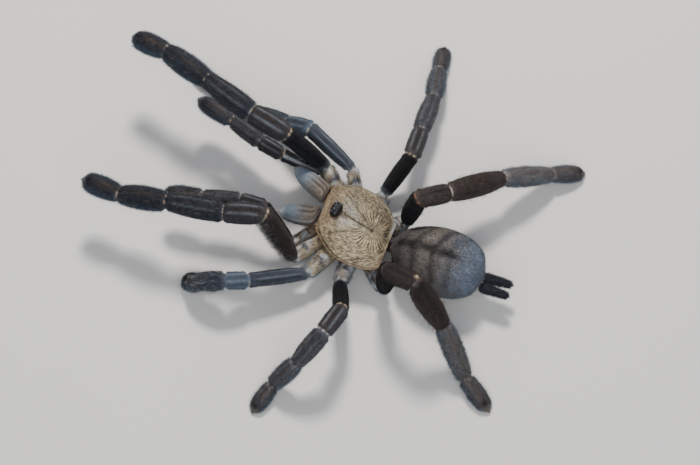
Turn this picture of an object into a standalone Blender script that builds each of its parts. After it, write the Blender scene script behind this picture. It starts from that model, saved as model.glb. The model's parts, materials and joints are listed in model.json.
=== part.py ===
"""A tarantula in its alert stance, front legs and palps raised, six legs on the ground.

One closed solid for each named part of the body, out to the tips of its coat.
Frame: metres, +Z up, head toward -Y, the spider's left toward +X.  Sizes below are in
millimetres and angles in degrees.  The limbs are lofted rings on a chain of joints, and
two neighbours meet on the plane that halves the bend between them, GAP apart.
"""
import math
from dataclasses import dataclass

import bmesh
import bpy
import numpy as np

MM = 0.001
GAP = 0.3                       # clearance between neighbouring solids

# --- body -----------------------------------------------------------------------------
FOVEA_Z = 13.0                  # the pit in the middle of the carapace, at x = y = 0
CARAPACE_FRONT_Y = -15.9
CARAPACE_REAR_Y = 5.6
CARAPACE_SKEW = 0.16            # its cross lines run this much further back, per mm to the left
CARAPACE_RIM_Z = 10.2           # underside of the shield
CARAPACE_EDGE = 0.5             # thickness of its rim
# half width of the shield at fractions of its length from the front edge
CARAPACE_OUTLINE = ((0.0, 7.0), (0.06, 8.2), (0.15, 9.6), (0.31, 11.3), (0.47, 11.7), (0.63, 11.4), (0.81, 10.3),
                    (0.94, 8.6), (1.0, 6.7))
# how far the middle of its width lies to the left of the head's line, at fractions of its length
CARAPACE_LEAN = ((0.0, 0.0), (0.31, 0.35), (0.63, 0.35), (0.81, 0.6), (0.94, 1.2), (1.0, 1.4))
# height of its ridge line at fractions of its length
CARAPACE_RIDGE = ((0.0, 12.4), (0.08, 13.8), (0.26, 14.4), (0.5, 13.7), (0.75, FOVEA_Z), (0.9, 12.3), (1.0, 10.9))

TUBERCLE_Y = -11.8              # the mound that carries the eight eyes
TUBERCLE_SIZE = (2.3, 1.6, 1.5)  # half width, half length, height
TUBERCLE_BASE_Z = 14.75

STERNUM_FRONT_Y = -14.4
STERNUM_REAR_Y = 2.6
STERNUM_HALF_WIDTH = 4.3
STERNUM_LOW_Z = 4.5
STERNUM_HIGH_Z = 9.1

CHELICERA_LENGTH = {"left": 10.6, "right": 11.9}
CHELICERA_HALF_WIDTH = {"left": 3.15, "right": 2.85}
CHELICERA_HALF_HEIGHT = 3.1
CHELICERA_ROOT = {"left": (3.5, -16.05, 11.5), "right": (-3.5, -17.15, 11.5)}
CHELICERA_HEADING = {"left": 20.0, "right": -13.0}
CHELICERA_RISE = {"left": -3.0, "right": 3.0}
FANG_LENGTH = 8.0
FANG_ROOT_RADIUS = 0.9
FANG_TIP_RADIUS = 0.28

ABDOMEN_CENTRE = (-2.2, 20.2, 10.4)
ABDOMEN_HALF = (10.4, 14.4, 9.0)            # half width, half length, half height
ABDOMEN_SWING = 10.0                        # its rear end swings to the spider's right
PEDICEL_RADIUS = 1.5
PEDICEL_Z = 7.6
PEDICEL_END_Y = 5.5
SPINNERET_APART = 3.1
SPINNERET_PLACE = (0.7, 0.0, -2.8)          # from the rear end of the abdomen's axis
SPINNERET_LENGTH = 7.8
SPINNERET_RADII = (1.4, 1.4, 0.95)

# --- limbs ----------------------------------------------------------------------------
SIDES = 12                      # of a limb's ring
COXA_SIDES = 10
BEND_REACH = 4.6                # how far from a joint the rings are still turned by its bend
UPRIGHT = 0.82                  # width over height of a femur
COXA_UPRIGHT = 0.92             # width over height of a coxa
GROUND_LIMBS = ("leg_2_left", "leg_2_right", "leg_3_left", "leg_3_right", "leg_4_left", "leg_4_right")


@dataclass(frozen=True)
class LimbKind:
    """Lengths, joint radii and mid-length radii of one kind of limb, femur first."""

    lengths: tuple
    joints: tuple               # radius at the root of each segment
    bellies: tuple              # largest radius of each segment
    coxa: tuple                 # radius at the coxa's root and middle


LEG_1 = LimbKind((19.5, 11.7, 16.5, 14.7, 12.0), (2.3, 2.9, 2.9, 2.45, 2.3), (3.2, 3.3, 3.35, 3.35, 3.1), (2.1, 2.45))
LEG_2 = LimbKind((17.4, 10.2, 14.0, 13.3, 10.7), (2.1, 2.6, 2.6, 2.25, 2.1), (2.85, 2.9, 2.95, 2.9, 2.7), (2.0, 2.15))
LEG_3 = LimbKind((14.5, 10.0, 12.5, 12.6, 9.8), (2.2, 2.6, 2.5, 2.1, 1.9), (3.0, 2.75, 2.9, 2.65, 2.4), (2.3, 2.95))
LEG_4 = LimbKind((18.0, 10.2, 17.8, 18.0, 11.4), (2.3, 2.75, 2.7, 2.3, 2.0), (3.1, 3.0, 3.45, 2.9, 2.6), (2.3, 2.95))
# the left second leg is a shorter one, as grown back after a loss
LEG_2_SHORT = LimbKind((17.4, 6.8, 9.0, 4.6, 5.0), (2.1, 2.4, 2.4, 2.3, 2.4), (2.8, 2.7, 3.0, 2.6, 2.75), (2.2, 2.85))
PALP = LimbKind((14.6, 8.2, 10.2, 12.0), (1.75, 2.1, 2.2, 2.0), (2.3, 2.4, 2.6, 2.65), (1.75, 2.0))

LEG_SEGMENTS = ("femur", "patella", "tibia", "foot")
PALP_SEGMENTS = ("femur", "shin", "tarsus")


@dataclass(frozen=True)
class Limb:
    """One limb in its pose: coxa root, femur root, and heading and rise of each segment."""

    name: str
    kind: LimbKind
    coxa_root: tuple
    femur_root: tuple
    bends: tuple                # (heading from straight ahead toward the left, rise) pairs


LIMBS = (
    Limb("leg_1_right", LEG_1, (-5.4, -11.9, 6.6), (-12.0, -22.2, 9.2),
         ((14, 54), (-1, 8), (-8, 2), (-7, 1), (0, -12))),
    Limb("leg_1_left", LEG_1, (5.4, -11.9, 6.6), (16.3, -16.6, 7.6),
         ((-9, 60), (23, -10), (19, 1), (14, -15), (6, 1))),
    Limb("leg_2_right", LEG_2, (-6.0, -7.4, 6.6), (-16.1, -15.9, 6.8),
         ((-5, 33), (-4, -38), (-2, -25), (-12, -9), (-7, -2))),
    Limb("leg_2_left", LEG_2_SHORT, (6.0, -7.4, 6.6), (18.4, -10.5, 7.1),
         ((41, 10), (38, 19), (22, -26), (-6, -67), (-24, -50))),
    Limb("leg_3_right", LEG_3, (-6.0, -2.9, 6.6), (-14.8, -4.5, 3.9),
         ((-104, 38), (-77, -15), (-79, -8), (-70, -25), (-73, -14))),
    Limb("leg_3_left", LEG_3, (6.0, -2.9, 6.6), (16.5, -1.1, 6.9),
         ((122, 40), (89, 23), (71, -37), (54, -53), (85, -10))),
    Limb("leg_4_right", LEG_4, (-5.0, 1.3, 6.6), (-10.7, 5.4, 4.1),
         ((-161, 81), (-128, -22), (-128, -15), (-131, -30), (-139, -20))),
    Limb("leg_4_left", LEG_4, (5.0, 1.3, 6.6), (11.3, 10.1, 6.1),
         ((155, 84), (173, 28), (168, -52), (150, -43), (156, -9))),
    Limb("palp_right", PALP, (-3.6, -16.4, 4.4), (-11.6, -23.1, 4.5),
         ((20, 36), (0, 5), (-12, -5), (-2, 7))),
    Limb("palp_left", PALP, (3.6, -16.4, 4.4), (12.4, -19.5, 6.3),
         ((-13, 46), (11, -9), (24, -3), (20, -10))),
)

# --- colours --------------------------------------------------------------------------
TAN = (0.38, 0.29, 0.18)
BLACK_VELVET = (0.020, 0.020, 0.025)
CHARCOAL = (0.045, 0.045, 0.055)
SLATE = (0.13, 0.18, 0.23)
HORN = (0.03, 0.012, 0.008)
GLOSS_BLACK = (0.01, 0.01, 0.012)
GREY_BROWN = (0.075, 0.066, 0.062)


def finish(name: str, colour: tuple, roughness: float) -> bpy.types.Material:
    """Principled finish of one colour."""
    material = bpy.data.materials.get(name) or bpy.data.materials.new(name)
    material.use_nodes = True
    shader = material.node_tree.nodes["Principled BSDF"]
    shader.inputs["Base Color"].default_value = (*colour, 1.0)
    shader.inputs["Roughness"].default_value = roughness
    shader.inputs["Metallic"].default_value = 0.0
    return material


def smooth_through(points: tuple, at: np.ndarray) -> np.ndarray:
    """Values at `at` of a smooth curve through (place, value) pairs, flat-free cubic pieces."""
    place = np.array([p[0] for p in points], float)
    value = np.array([p[1] for p in points], float)
    slope = np.gradient(value, place)
    index = np.clip(np.searchsorted(place, at, side="right") - 1, 0, len(place) - 2)
    width = place[index + 1] - place[index]
    t = (at - place[index]) / width
    start = value[index] * (1 + 2 * t) * (1 - t) ** 2 + slope[index] * width * t * (1 - t) ** 2
    end = value[index + 1] * t * t * (3 - 2 * t) + slope[index + 1] * width * t * t * (t - 1)
    return start + end


def direction(heading: float, rise: float) -> np.ndarray:
    """Unit vector turned `heading` from -Y toward +X and lifted by `rise`."""
    h, r = math.radians(heading), math.radians(rise)
    return np.array([math.cos(r) * math.sin(h), -math.cos(r) * math.cos(h), math.sin(r)])


def unit(vector: np.ndarray) -> np.ndarray:
    """The vector at length 1."""
    return vector / np.linalg.norm(vector)


def ring(centre: np.ndarray, normal: np.ndarray, side: np.ndarray, half_side: float, half_up: float,
         count: int, square: float = 2.0) -> np.ndarray:
    """A closed ring round `normal`, an ellipse at square = 2 and boxier above that."""
    across = unit(side - normal * np.dot(side, normal))
    up = np.cross(across, normal)
    angle = np.arange(count) * 2 * math.pi / count
    c, s = np.cos(angle), np.sin(angle)
    x = np.sign(c) * np.abs(c) ** (2 / square) * half_side
    z = np.sign(s) * np.abs(s) ** (2 / square) * half_up
    return centre + x[:, None] * across + z[:, None] * up


def solid(name: str, rings: list, material: bpy.types.Material) -> bpy.types.Object:
    """Closed solid through equal rings with a flat cap at each end, its faces pointing out."""
    count = len(rings[0])
    points = np.concatenate(rings)
    origin = rings[0].mean(axis=0)
    mesh = bpy.data.meshes.new(name)
    shape = bmesh.new()
    verts = [shape.verts.new((p - origin) * MM) for p in points]
    for layer in range(len(rings) - 1):
        for i in range(count):
            j = (i + 1) % count
            a, b = layer * count, (layer + 1) * count
            shape.faces.new((verts[a + i], verts[a + j], verts[b + j], verts[b + i]))
    shape.faces.new(verts[:count][::-1])
    shape.faces.new(verts[-count:])
    bmesh.ops.recalc_face_normals(shape, faces=shape.faces)
    shape.to_mesh(mesh)
    shape.free()
    mesh.materials.append(material)
    mesh.shade_smooth()
    mesh.set_sharp_from_angle(angle=math.radians(50))
    part = bpy.data.objects.new(name, mesh)
    part.location = origin * MM
    bpy.context.collection.objects.link(part)
    return part


def limb_rings(start: np.ndarray, end: np.ndarray, start_plane: np.ndarray, end_plane: np.ndarray,
               side: np.ndarray, radii: tuple, stations: tuple, count: int, width: float = 1.0) -> list:
    """Rings of one segment, which turn from the plane at each end to square across it."""
    root, far, belly = radii
    length = np.linalg.norm(end - start)
    along = (end - start) / length
    reach = min(BEND_REACH, length * 0.48)
    result = []
    for u in stations:
        radius = root * (1 - u) + far * u + (belly - (root + far) / 2) * math.sin(math.pi * u) ** 0.7
        near_start = max(0.0, 1 - u * length / reach)
        near_end = max(0.0, 1 - (1 - u) * length / reach)
        normal = unit(along * (1 - near_start - near_end) + start_plane * near_start + end_plane * near_end)
        centre = start + (end - start) * u
        if u == 0.0:
            centre = start + start_plane * GAP / 2
        if u == 1.0:
            centre = end - end_plane * GAP / 2
        result.append(ring(centre, normal, side, radius * width, radius, count))
    return result


def rounded_tip(start: np.ndarray, end: np.ndarray, start_plane: np.ndarray, side: np.ndarray,
                root: float, belly: float, width: float) -> list:
    """Rings of a last segment that ends in a round tip."""
    along = unit(end - start)
    result = [ring(start, start_plane, side, root * width, root, SIDES)]
    for u in (0.2, 0.5, 0.78, 0.93, 1.0):
        swell = root + (belly - root) * math.sin(math.pi * min(u, 0.5))
        fade = math.sqrt(max(1 - max(u - 0.55, 0.0) ** 2 / 0.235, 0.0))
        radius = swell * fade
        result.append(ring(start + (end - start) * u, along, side, radius * width, radius, SIDES))
    return result


def press_flat(rings: list) -> list:
    """The rings with everything under the ground laid on it, which gives the foot its flat."""
    return [np.column_stack((r[:, :2], np.maximum(r[:, 2], 0.0))) for r in rings]


def build_limb(limb: Limb, finishes: dict) -> None:
    """Coxa, then every segment out to the tip; metatarsus and tarsus share one node."""
    kind = limb.kind
    is_palp = kind is PALP
    joints = [np.array(limb.femur_root, float)]
    for (heading, rise), length in zip(limb.bends, kind.lengths):
        joints.append(joints[-1] + direction(heading, rise) * length)
    root = np.array(limb.coxa_root, float)
    ways = [unit(b - a) for a, b in zip(joints, joints[1:])]
    coxa_way = unit(joints[0] - root)
    planes = [unit(a + b) for a, b in zip([coxa_way] + ways, ways)]
    sides = [np.array([math.cos(math.radians(h)), math.sin(math.radians(h)), 0.0]) for h, _ in limb.bends]

    coxa_side = np.array([-coxa_way[1], coxa_way[0], 0.0])
    rings = limb_rings(root, joints[0], coxa_way, planes[0], coxa_side,
                       (kind.coxa[0], kind.joints[0], kind.coxa[1]), (0.0, 0.25, 0.55, 0.8, 1.0), COXA_SIDES,
                       COXA_UPRIGHT)
    solid(f"{limb.name}_coxa", rings, finishes["tan"])

    # femur, then patella; a palp's patella and tibia are one node, its shin
    def segment(i: int, stations: tuple, width: float = 1.0) -> list:
        return limb_rings(joints[i], joints[i + 1], planes[i], planes[i + 1], sides[i],
                          (kind.joints[i], kind.joints[i + 1], kind.bellies[i]), stations, SIDES, width)

    long_stations = (0.0, 0.16, 0.4, 0.65, 0.87, 1.0)
    short_stations = (0.0, 0.22, 0.5, 0.78, 1.0)
    femur_finish = finishes["slate"] if "leg_2" in limb.name else finishes["velvet"]
    solid(f"{limb.name}_femur", segment(0, long_stations, UPRIGHT), femur_finish)
    if is_palp:
        tibia = segment(2, short_stations)
        solid(f"{limb.name}_shin", segment(1, short_stations)[:-1] + tibia[1:], finishes["charcoal"])
        tip = rounded_tip(joints[3] + planes[3] * GAP / 2, joints[4], planes[3], sides[3],
                          kind.joints[3], kind.bellies[3], 1.0)
        solid(f"{limb.name}_tarsus", tip, finishes["charcoal"])
        return
    solid(f"{limb.name}_patella", segment(1, short_stations), finishes["charcoal"])
    solid(f"{limb.name}_tibia", segment(2, long_stations), finishes["charcoal"])
    metatarsus = segment(3, short_stations)[:-1]
    tarsus = rounded_tip(joints[4], joints[5], planes[4], sides[4], kind.joints[4], kind.bellies[4], 1.0)
    foot = metatarsus + tarsus
    if limb.name in GROUND_LIMBS:
        foot = press_flat(foot)
    solid(f"{limb.name}_foot", foot, finishes["charcoal"])


def build_carapace(finishes: dict) -> None:
    """The shield: rings across the body, each a low dome over a flat underside."""
    fractions = np.array([0.0, 0.035, 0.1, 0.2, 0.32, 0.45, 0.58, 0.7, 0.8, 0.89, 0.96, 1.0])
    half = smooth_through(CARAPACE_OUTLINE, fractions)
    lean = smooth_through(CARAPACE_LEAN, fractions)
    ridge = smooth_through(CARAPACE_RIDGE, fractions)
    length = CARAPACE_REAR_Y - CARAPACE_FRONT_Y
    across = np.cos(np.linspace(0.0, math.pi, 13))
    rings = []
    for f, w, shift, top in zip(fractions, half, lean, ridge):
        y = CARAPACE_FRONT_Y + length * f
        rim = CARAPACE_RIM_Z + CARAPACE_EDGE
        height = rim + (top - rim) * (1 - np.abs(across) ** 2.2) ** 0.75
        over_x = shift + across * w
        over = np.column_stack((over_x, y + over_x * CARAPACE_SKEW, height))
        under_x = shift + np.linspace(-w, w, 5)
        under = np.column_stack((under_x, y + under_x * CARAPACE_SKEW, np.full(5, CARAPACE_RIM_Z)))
        rings.append(np.concatenate((over, under)))
    solid("carapace", rings, finishes["tan"])


def build_tubercle(finishes: dict) -> None:
    """The eye mound, a low dome with a flat foot, standing just clear of the shield."""
    half_width, half_length, height = TUBERCLE_SIZE
    rings = []
    for u in (0.0, 0.35, 0.65, 0.87, 0.98):
        shrink = math.sqrt(1 - u * u)
        centre = np.array([0.0, TUBERCLE_Y, TUBERCLE_BASE_Z + height * u])
        rings.append(ring(centre, np.array([0, 0, 1.0]), np.array([1.0, 0, 0]),
                          half_width * shrink, half_length * shrink, SIDES))
    solid("ocular_tubercle", rings, finishes["gloss"])


def build_sternum(finishes: dict) -> None:
    """The breast plate and the body above it, between the roots of the coxae."""
    length = STERNUM_REAR_Y - STERNUM_FRONT_Y
    middle_z = (STERNUM_LOW_Z + STERNUM_HIGH_Z) / 2
    rings = []
    for u in (0.0, 0.12, 0.35, 0.65, 0.88, 1.0):
        half = STERNUM_HALF_WIDTH * (0.32 + 0.68 * math.sin(math.pi * u) ** 0.6)
        centre = np.array([0.0, STERNUM_FRONT_Y + length * u, middle_z])
        rings.append(ring(centre, np.array([0, 1.0, 0]), np.array([1.0, 0, 0]), half,
                          (STERNUM_HIGH_Z - STERNUM_LOW_Z) / 2, SIDES, 3.5))
    solid("sternum", rings, finishes["charcoal"])


def build_chelicera(hand: str, finishes: dict) -> None:
    """Basal piece of one jaw, a boxy loft that narrows to a round end, and the fang under it."""
    sign = 1 if hand == "left" else -1
    heading = CHELICERA_HEADING[hand]
    rise = CHELICERA_RISE[hand]
    length = CHELICERA_LENGTH[hand]
    along = direction(heading, rise)
    side = direction(heading + 90, 0)
    root = np.array(CHELICERA_ROOT[hand])
    rings = []
    for u in (0.0, 0.14, 0.38, 0.62, 0.82, 0.94, 1.0):
        swell = 0.92 + 0.08 * math.sin(math.pi * min(u * 1.6, 0.5))
        fade = math.sqrt(1 - max(u - 0.30, 0.0) ** 2 / 0.62)
        size = swell * fade
        centre = root + along * length * u + np.array([0, 0, -0.8 * u * u])
        normal = direction(heading * min(u * 5, 1.0), rise * min(u * 5, 1.0) - 28 * u * u)
        rings.append(ring(centre, normal, side, CHELICERA_HALF_WIDTH[hand] * size, CHELICERA_HALF_HEIGHT * size,
                          SIDES + 2, 2.6))
    solid(f"chelicera_{hand}", rings, finishes["slate"])

    # the fang runs back under the jaw in a shallow arc, nearer to the midline
    hinge = root + along * length * 0.9 - side * sign * 0.7
    start = np.array([hinge[0], hinge[1], root[2] - CHELICERA_HALF_HEIGHT - GAP - FANG_ROOT_RADIUS])
    back = -direction(heading, 0)
    rings = []
    for u in (0.0, 0.2, 0.45, 0.7, 0.9, 1.0):
        centre = start + back * FANG_LENGTH * u + np.array([0, 0, -0.9 * math.sin(math.pi * u * 0.75)])
        normal = unit(back + np.array([0, 0, -0.25 * math.cos(math.pi * u * 0.75)]))
        radius = FANG_ROOT_RADIUS + (FANG_TIP_RADIUS - FANG_ROOT_RADIUS) * u
        rings.append(ring(centre, normal, side, radius, radius, 8))
    solid(f"fang_{hand}", rings, finishes["horn"])


def build_abdomen(finishes: dict) -> None:
    """The egg-shaped hind body, its pedicel and the two long spinnerets."""
    half_width, half_length, half_height = ABDOMEN_HALF
    along = direction(180 + ABDOMEN_SWING, 0)
    side = direction(90 + ABDOMEN_SWING, 0)
    centre = np.array(ABDOMEN_CENTRE)
    rings = []
    for angle in np.linspace(0.0, math.pi, 13):
        t = -math.cos(angle)
        lean = 1 + 0.10 * t                    # fuller toward the rear
        size = max(math.sin(angle), 0.16) ** 0.92 * lean
        place = centre + along * half_length * t
        rings.append(ring(place, along, side, half_width * size, half_height * size, 18))
    solid("abdomen", rings, finishes["grey_brown"])

    start = np.array([0.0, STERNUM_REAR_Y + GAP, PEDICEL_Z])
    front = np.array([0.0, PEDICEL_END_Y, PEDICEL_Z])
    rings = []
    for u in (0.0, 0.5, 1.0):
        place = start + (front - start) * u
        rings.append(ring(place, np.array([0, 1.0, 0]), side, PEDICEL_RADIUS, PEDICEL_RADIUS, COXA_SIDES))
    solid("pedicel", rings, finishes["charcoal"])

    rear = centre + along * (half_length + GAP)
    for hand, sign in (("left", 1), ("right", -1)):
        outward = -sign * side                 # `side` points to the spider's right here
        way = unit(along + outward * 0.03 + np.array([0, 0, 0.06]))
        root = rear + outward * SPINNERET_APART / 2 + np.array(SPINNERET_PLACE)
        rings = []
        for u in (0.0, 0.33, 0.36, 0.62, 0.66, 0.92, 1.0):
            radius = float(np.interp(u, (0.0, 0.4, 1.0), SPINNERET_RADII))
            radius *= 0.6 if u == 1.0 else 1.0
            rings.append(ring(root + way * SPINNERET_LENGTH * u, way, side, radius, radius, COXA_SIDES))
        solid(f"spinneret_{hand}", rings, finishes["charcoal"])


def stand_at_origin() -> None:
    """Parent every part to one empty, which puts the bottom centre of the whole at the origin."""
    parts = [o for o in bpy.context.scene.objects if o.type == "MESH"]
    low, high = np.full(3, np.inf), np.full(3, -np.inf)
    for part in parts:
        for vertex in part.data.vertices:
            place = np.array(part.location) + np.array(vertex.co)
            low, high = np.minimum(low, place), np.maximum(high, place)
    stand = bpy.data.objects.new("tarantula", None)
    bpy.context.collection.objects.link(stand)
    stand.location = (-(low[0] + high[0]) / 2, -(low[1] + high[1]) / 2, -low[2])
    for part in parts:
        part.parent = stand


def main() -> None:
    """Clear the scene and build the spider."""
    for old in list(bpy.data.objects):
        bpy.data.objects.remove(old, do_unlink=True)
    finishes = {
        "tan": finish("tan hair", TAN, 0.7),
        "velvet": finish("black velvet", BLACK_VELVET, 0.8),
        "charcoal": finish("charcoal hair", CHARCOAL, 0.7),
        "slate": finish("slate hair", SLATE, 0.65),
        "horn": finish("dark horn", HORN, 0.25),
        "gloss": finish("gloss black", GLOSS_BLACK, 0.1),
        "grey_brown": finish("grey-brown velvet", GREY_BROWN, 0.8),
    }
    build_carapace(finishes)
    build_tubercle(finishes)
    build_sternum(finishes)
    for hand in ("left", "right"):
        build_chelicera(hand, finishes)
    build_abdomen(finishes)
    for limb in LIMBS:
        build_limb(limb, finishes)
    stand_at_origin()


main()
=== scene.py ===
"""The looks of a tarantula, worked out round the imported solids.

Flesh is one skin whose rings are read from the solids and drawn in by the depth of the coat.
The shield, the eye mound, the eyes, the fangs and the claws are pieces of their own.  Over them
lies the coat: closed three-sided hairs in five kinds, which follow the lie of the hair and carry
the same markings as the skin.  Shapes are worked out in millimetres in the frame of the solids:
head toward -Y, the spider's left toward +X, +Z up.
"""

import json
import logging
import math
from dataclasses import dataclass, field
from enum import Enum

import bpy
import numpy as np
from mathutils import Matrix, Vector

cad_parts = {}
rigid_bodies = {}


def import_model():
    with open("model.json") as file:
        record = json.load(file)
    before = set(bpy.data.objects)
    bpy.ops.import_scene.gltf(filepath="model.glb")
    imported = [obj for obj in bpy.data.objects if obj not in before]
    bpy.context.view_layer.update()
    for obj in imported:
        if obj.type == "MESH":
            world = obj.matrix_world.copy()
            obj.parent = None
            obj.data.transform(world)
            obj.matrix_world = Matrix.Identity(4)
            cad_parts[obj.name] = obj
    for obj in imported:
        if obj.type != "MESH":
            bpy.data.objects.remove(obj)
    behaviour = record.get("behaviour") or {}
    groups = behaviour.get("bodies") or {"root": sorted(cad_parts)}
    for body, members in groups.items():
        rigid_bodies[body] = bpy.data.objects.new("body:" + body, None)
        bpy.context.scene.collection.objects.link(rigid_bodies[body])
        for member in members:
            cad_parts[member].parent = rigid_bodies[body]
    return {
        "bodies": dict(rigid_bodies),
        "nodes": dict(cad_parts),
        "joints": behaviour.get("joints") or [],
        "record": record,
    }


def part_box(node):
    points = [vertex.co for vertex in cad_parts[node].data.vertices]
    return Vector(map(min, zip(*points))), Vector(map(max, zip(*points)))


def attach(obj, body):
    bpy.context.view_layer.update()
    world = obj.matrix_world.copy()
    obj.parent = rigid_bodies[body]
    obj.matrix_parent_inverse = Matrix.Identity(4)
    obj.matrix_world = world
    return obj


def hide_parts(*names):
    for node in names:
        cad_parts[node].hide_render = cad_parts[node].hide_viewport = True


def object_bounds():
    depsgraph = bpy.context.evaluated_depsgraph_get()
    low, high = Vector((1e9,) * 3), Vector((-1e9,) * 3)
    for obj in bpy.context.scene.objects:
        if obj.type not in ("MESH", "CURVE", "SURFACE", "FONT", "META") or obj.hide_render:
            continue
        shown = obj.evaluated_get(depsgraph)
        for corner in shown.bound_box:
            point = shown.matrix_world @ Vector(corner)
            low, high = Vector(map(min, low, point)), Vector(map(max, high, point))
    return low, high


LOG = logging.getLogger("tarantula")
MM = 0.001
TAU = 2 * math.pi
BODY = "root"
HANDS = ("left", "right")
LEFTWARD = np.array((1.0, 0.0, 0.0))
REARWARD = np.array((0.0, 1.0, 0.0))
FLOOR_GAP = 0.02                # mm, the least height of a claw or fang
HAIR_FLOOR_GAP = 0.01           # mm, the least height of a hair


# --- numbers --------------------------------------------------------------------------


def unit(vectors: np.ndarray) -> np.ndarray:
    """The vectors at length 1, along the last axis."""
    return vectors / np.maximum(np.linalg.norm(vectors, axis=-1, keepdims=True), 1e-9)


def ease(low: float, high: float, x: np.ndarray) -> np.ndarray:
    """Smooth step from 0 at `low` to 1 at `high`: t squared times (3 - 2t)."""
    t = np.clip((x - low) / (high - low), 0.0, 1.0)
    return t * t * (3 - 2 * t)


def blot(x: np.ndarray, centre: float, width: float) -> np.ndarray:
    """Bell of height 1 at `centre`: e to the minus ((x - centre) / width) squared."""
    return np.exp(-(((x - centre) / width) ** 2))


def blend(a: np.ndarray, b: np.ndarray, share: np.ndarray | float) -> np.ndarray:
    """Colours `a` turned toward `b` by a share of 0 to 1, the same everywhere or one at each place."""
    return a + (b - a) * np.asarray(share)[..., None]


def painted(tint: np.ndarray, *layers: tuple) -> np.ndarray:
    """A tint with layers laid over it in turn, each a colour and its share at each place."""
    for colour, share in layers:
        tint = blend(tint, colour, share)
    return tint


def scramble(lattice: np.ndarray) -> np.ndarray:
    """A repeatable number from 0 to 1 for each whole-number point of a lattice."""
    x, y, z = (lattice[..., i].astype(np.int64) for i in range(3))
    hashed = (x * 73856093) ^ (y * 19349663) ^ (z * 83492791)
    hashed = (hashed ^ (hashed >> 13)) * 1274126177
    return ((hashed ^ (hashed >> 16)) & 0xFFFF) / 65535.0


def mottle(places: np.ndarray, scale: float) -> np.ndarray:
    """Smooth noise of 0 to 1: lattice values eased between the corners of each cell.

    Args:
        places: points, in mm, along the last axis.
        scale: size of one cell, in mm.

    Returns:
        One value for each point.
    """
    cell = np.asarray(places) / scale
    base = np.floor(cell)
    t = cell - base
    t = t * t * (3 - 2 * t)
    total = np.zeros(cell.shape[:-1])
    for corner in np.ndindex(2, 2, 2):
        weight = np.prod(np.where(np.array(corner) == 1, t, 1 - t), axis=-1)
        total += weight * scramble(base + np.array(corner))
    return total


def noise(*axes: np.ndarray | float, scale: float = 1.0) -> np.ndarray:
    """Smooth noise at places given axis by axis, each a value or a grid of them."""
    return mottle(np.stack(np.broadcast_arrays(*axes), axis=-1), scale)


def spots(points: np.ndarray, seed: float) -> tuple[np.ndarray, np.ndarray]:
    """Coarse and fine noise at a grid of points, in mm."""
    return mottle(points + seed, 1.9), mottle(points + seed, 0.55)


def evened(values: np.ndarray, times: int) -> np.ndarray:
    """Rows turned a quarter toward each neighbour, a number of times, the end rows left alone."""
    values = values.copy()
    for _ in range(times):
        values[1:-1] = (values[:-2] + 2 * values[1:-1] + values[2:]) / 4
    return values


def between(x: np.ndarray, stations: np.ndarray, values: np.ndarray) -> np.ndarray:
    """Each column of `values`, known at the stations, read off at `x`."""
    return np.column_stack([np.interp(x, stations, column) for column in values.T])


def middle_of(x: np.ndarray) -> float:
    """The value half way between the least and the most."""
    return (x.max() + x.min()) / 2


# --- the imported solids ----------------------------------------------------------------


class Solid:
    """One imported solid, measured by its flat ends and by cutting it with planes."""

    def __init__(self, node: bpy.types.Object) -> None:
        """Read the node's triangles, in mm."""
        mesh = node.data
        mesh.calc_loop_triangles()
        places = np.zeros(len(mesh.vertices) * 3)
        mesh.vertices.foreach_get("co", places)
        corners = np.zeros(len(mesh.loop_triangles) * 3, np.int32)
        mesh.loop_triangles.foreach_get("vertices", corners)
        self.points = places.reshape(-1, 3) / MM
        self.triangles = self.points[corners.reshape(-1, 3)]

    def ends(self) -> list[tuple[np.ndarray, np.ndarray]]:
        """The flat ends: groups of at least six triangles that share one plane.

        Returns:
            (centre, ring of corner points) of the two largest, those on the floor left out.
        """
        a, b, c = (self.triangles[:, i] for i in range(3))
        cross = np.cross(b - a, c - a)
        normal = unit(cross)
        offset = np.sum(normal * a, axis=1)
        keys = np.round(np.column_stack((normal * 20, offset * 10))).astype(int)
        groups, label, count = np.unique(keys, axis=0, return_inverse=True, return_counts=True)
        label = label.ravel()
        found = []
        for g in np.flatnonzero(count >= 6):
            if groups[g][2] == -20 and abs(groups[g][3]) <= 1:
                continue
            ring = np.unique(np.round(self.triangles[label == g].reshape(-1, 3), 3), axis=0)
            area = np.linalg.norm(cross[label == g], axis=1).sum()
            found.append((area, ring.mean(axis=0), ring))
        found.sort(key=lambda item: -item[0])
        return [(centre, ring) for _, centre, ring in found[:2]]

    def cut(self, point: np.ndarray, normal: np.ndarray) -> np.ndarray:
        """Where the plane through `point` crosses the solid's edges.

        Args:
            point: a point of the plane.
            normal: the plane's normal.

        Returns:
            Points of the outline, in no order.
        """
        start, end = self.triangles, np.roll(self.triangles, -1, axis=1)
        a, b = (start - point) @ normal, (end - point) @ normal
        hit = a * b < 0
        share = a[hit] / (a[hit] - b[hit])
        return start[hit] + (end[hit] - start[hit]) * share[:, None]

    def outline(self, point: np.ndarray, normal: np.ndarray, side: np.ndarray,
                up: np.ndarray) -> tuple[np.ndarray, tuple]:
        """Centre, and half sizes along `side` and `up`, of the outline that a plane cuts."""
        found = self.cut(point, normal) - point
        x, z = found @ side, found @ up
        return point + side * middle_of(x) + up * middle_of(z), (np.ptp(x) / 2, np.ptp(z) / 2)


# --- surfaces and their coat ----------------------------------------------------------


class Hair(Enum):
    """The kinds of hair in the coat."""

    VELVET = "velvet"
    NAP = "nap"
    BRUSH = "brush"
    BRISTLE = "bristle"
    LONG = "long"


@dataclass
class Pelt:
    """One kind of hair over one surface, each field a value or a grid of them."""

    weight: np.ndarray          # hairs for each square mm, against other pelts of the kind
    length: np.ndarray          # mm
    lift: np.ndarray            # degrees off the skin
    tint: np.ndarray | None = None
    stray: float = 12.0         # degrees of random turn in the skin's plane


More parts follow.
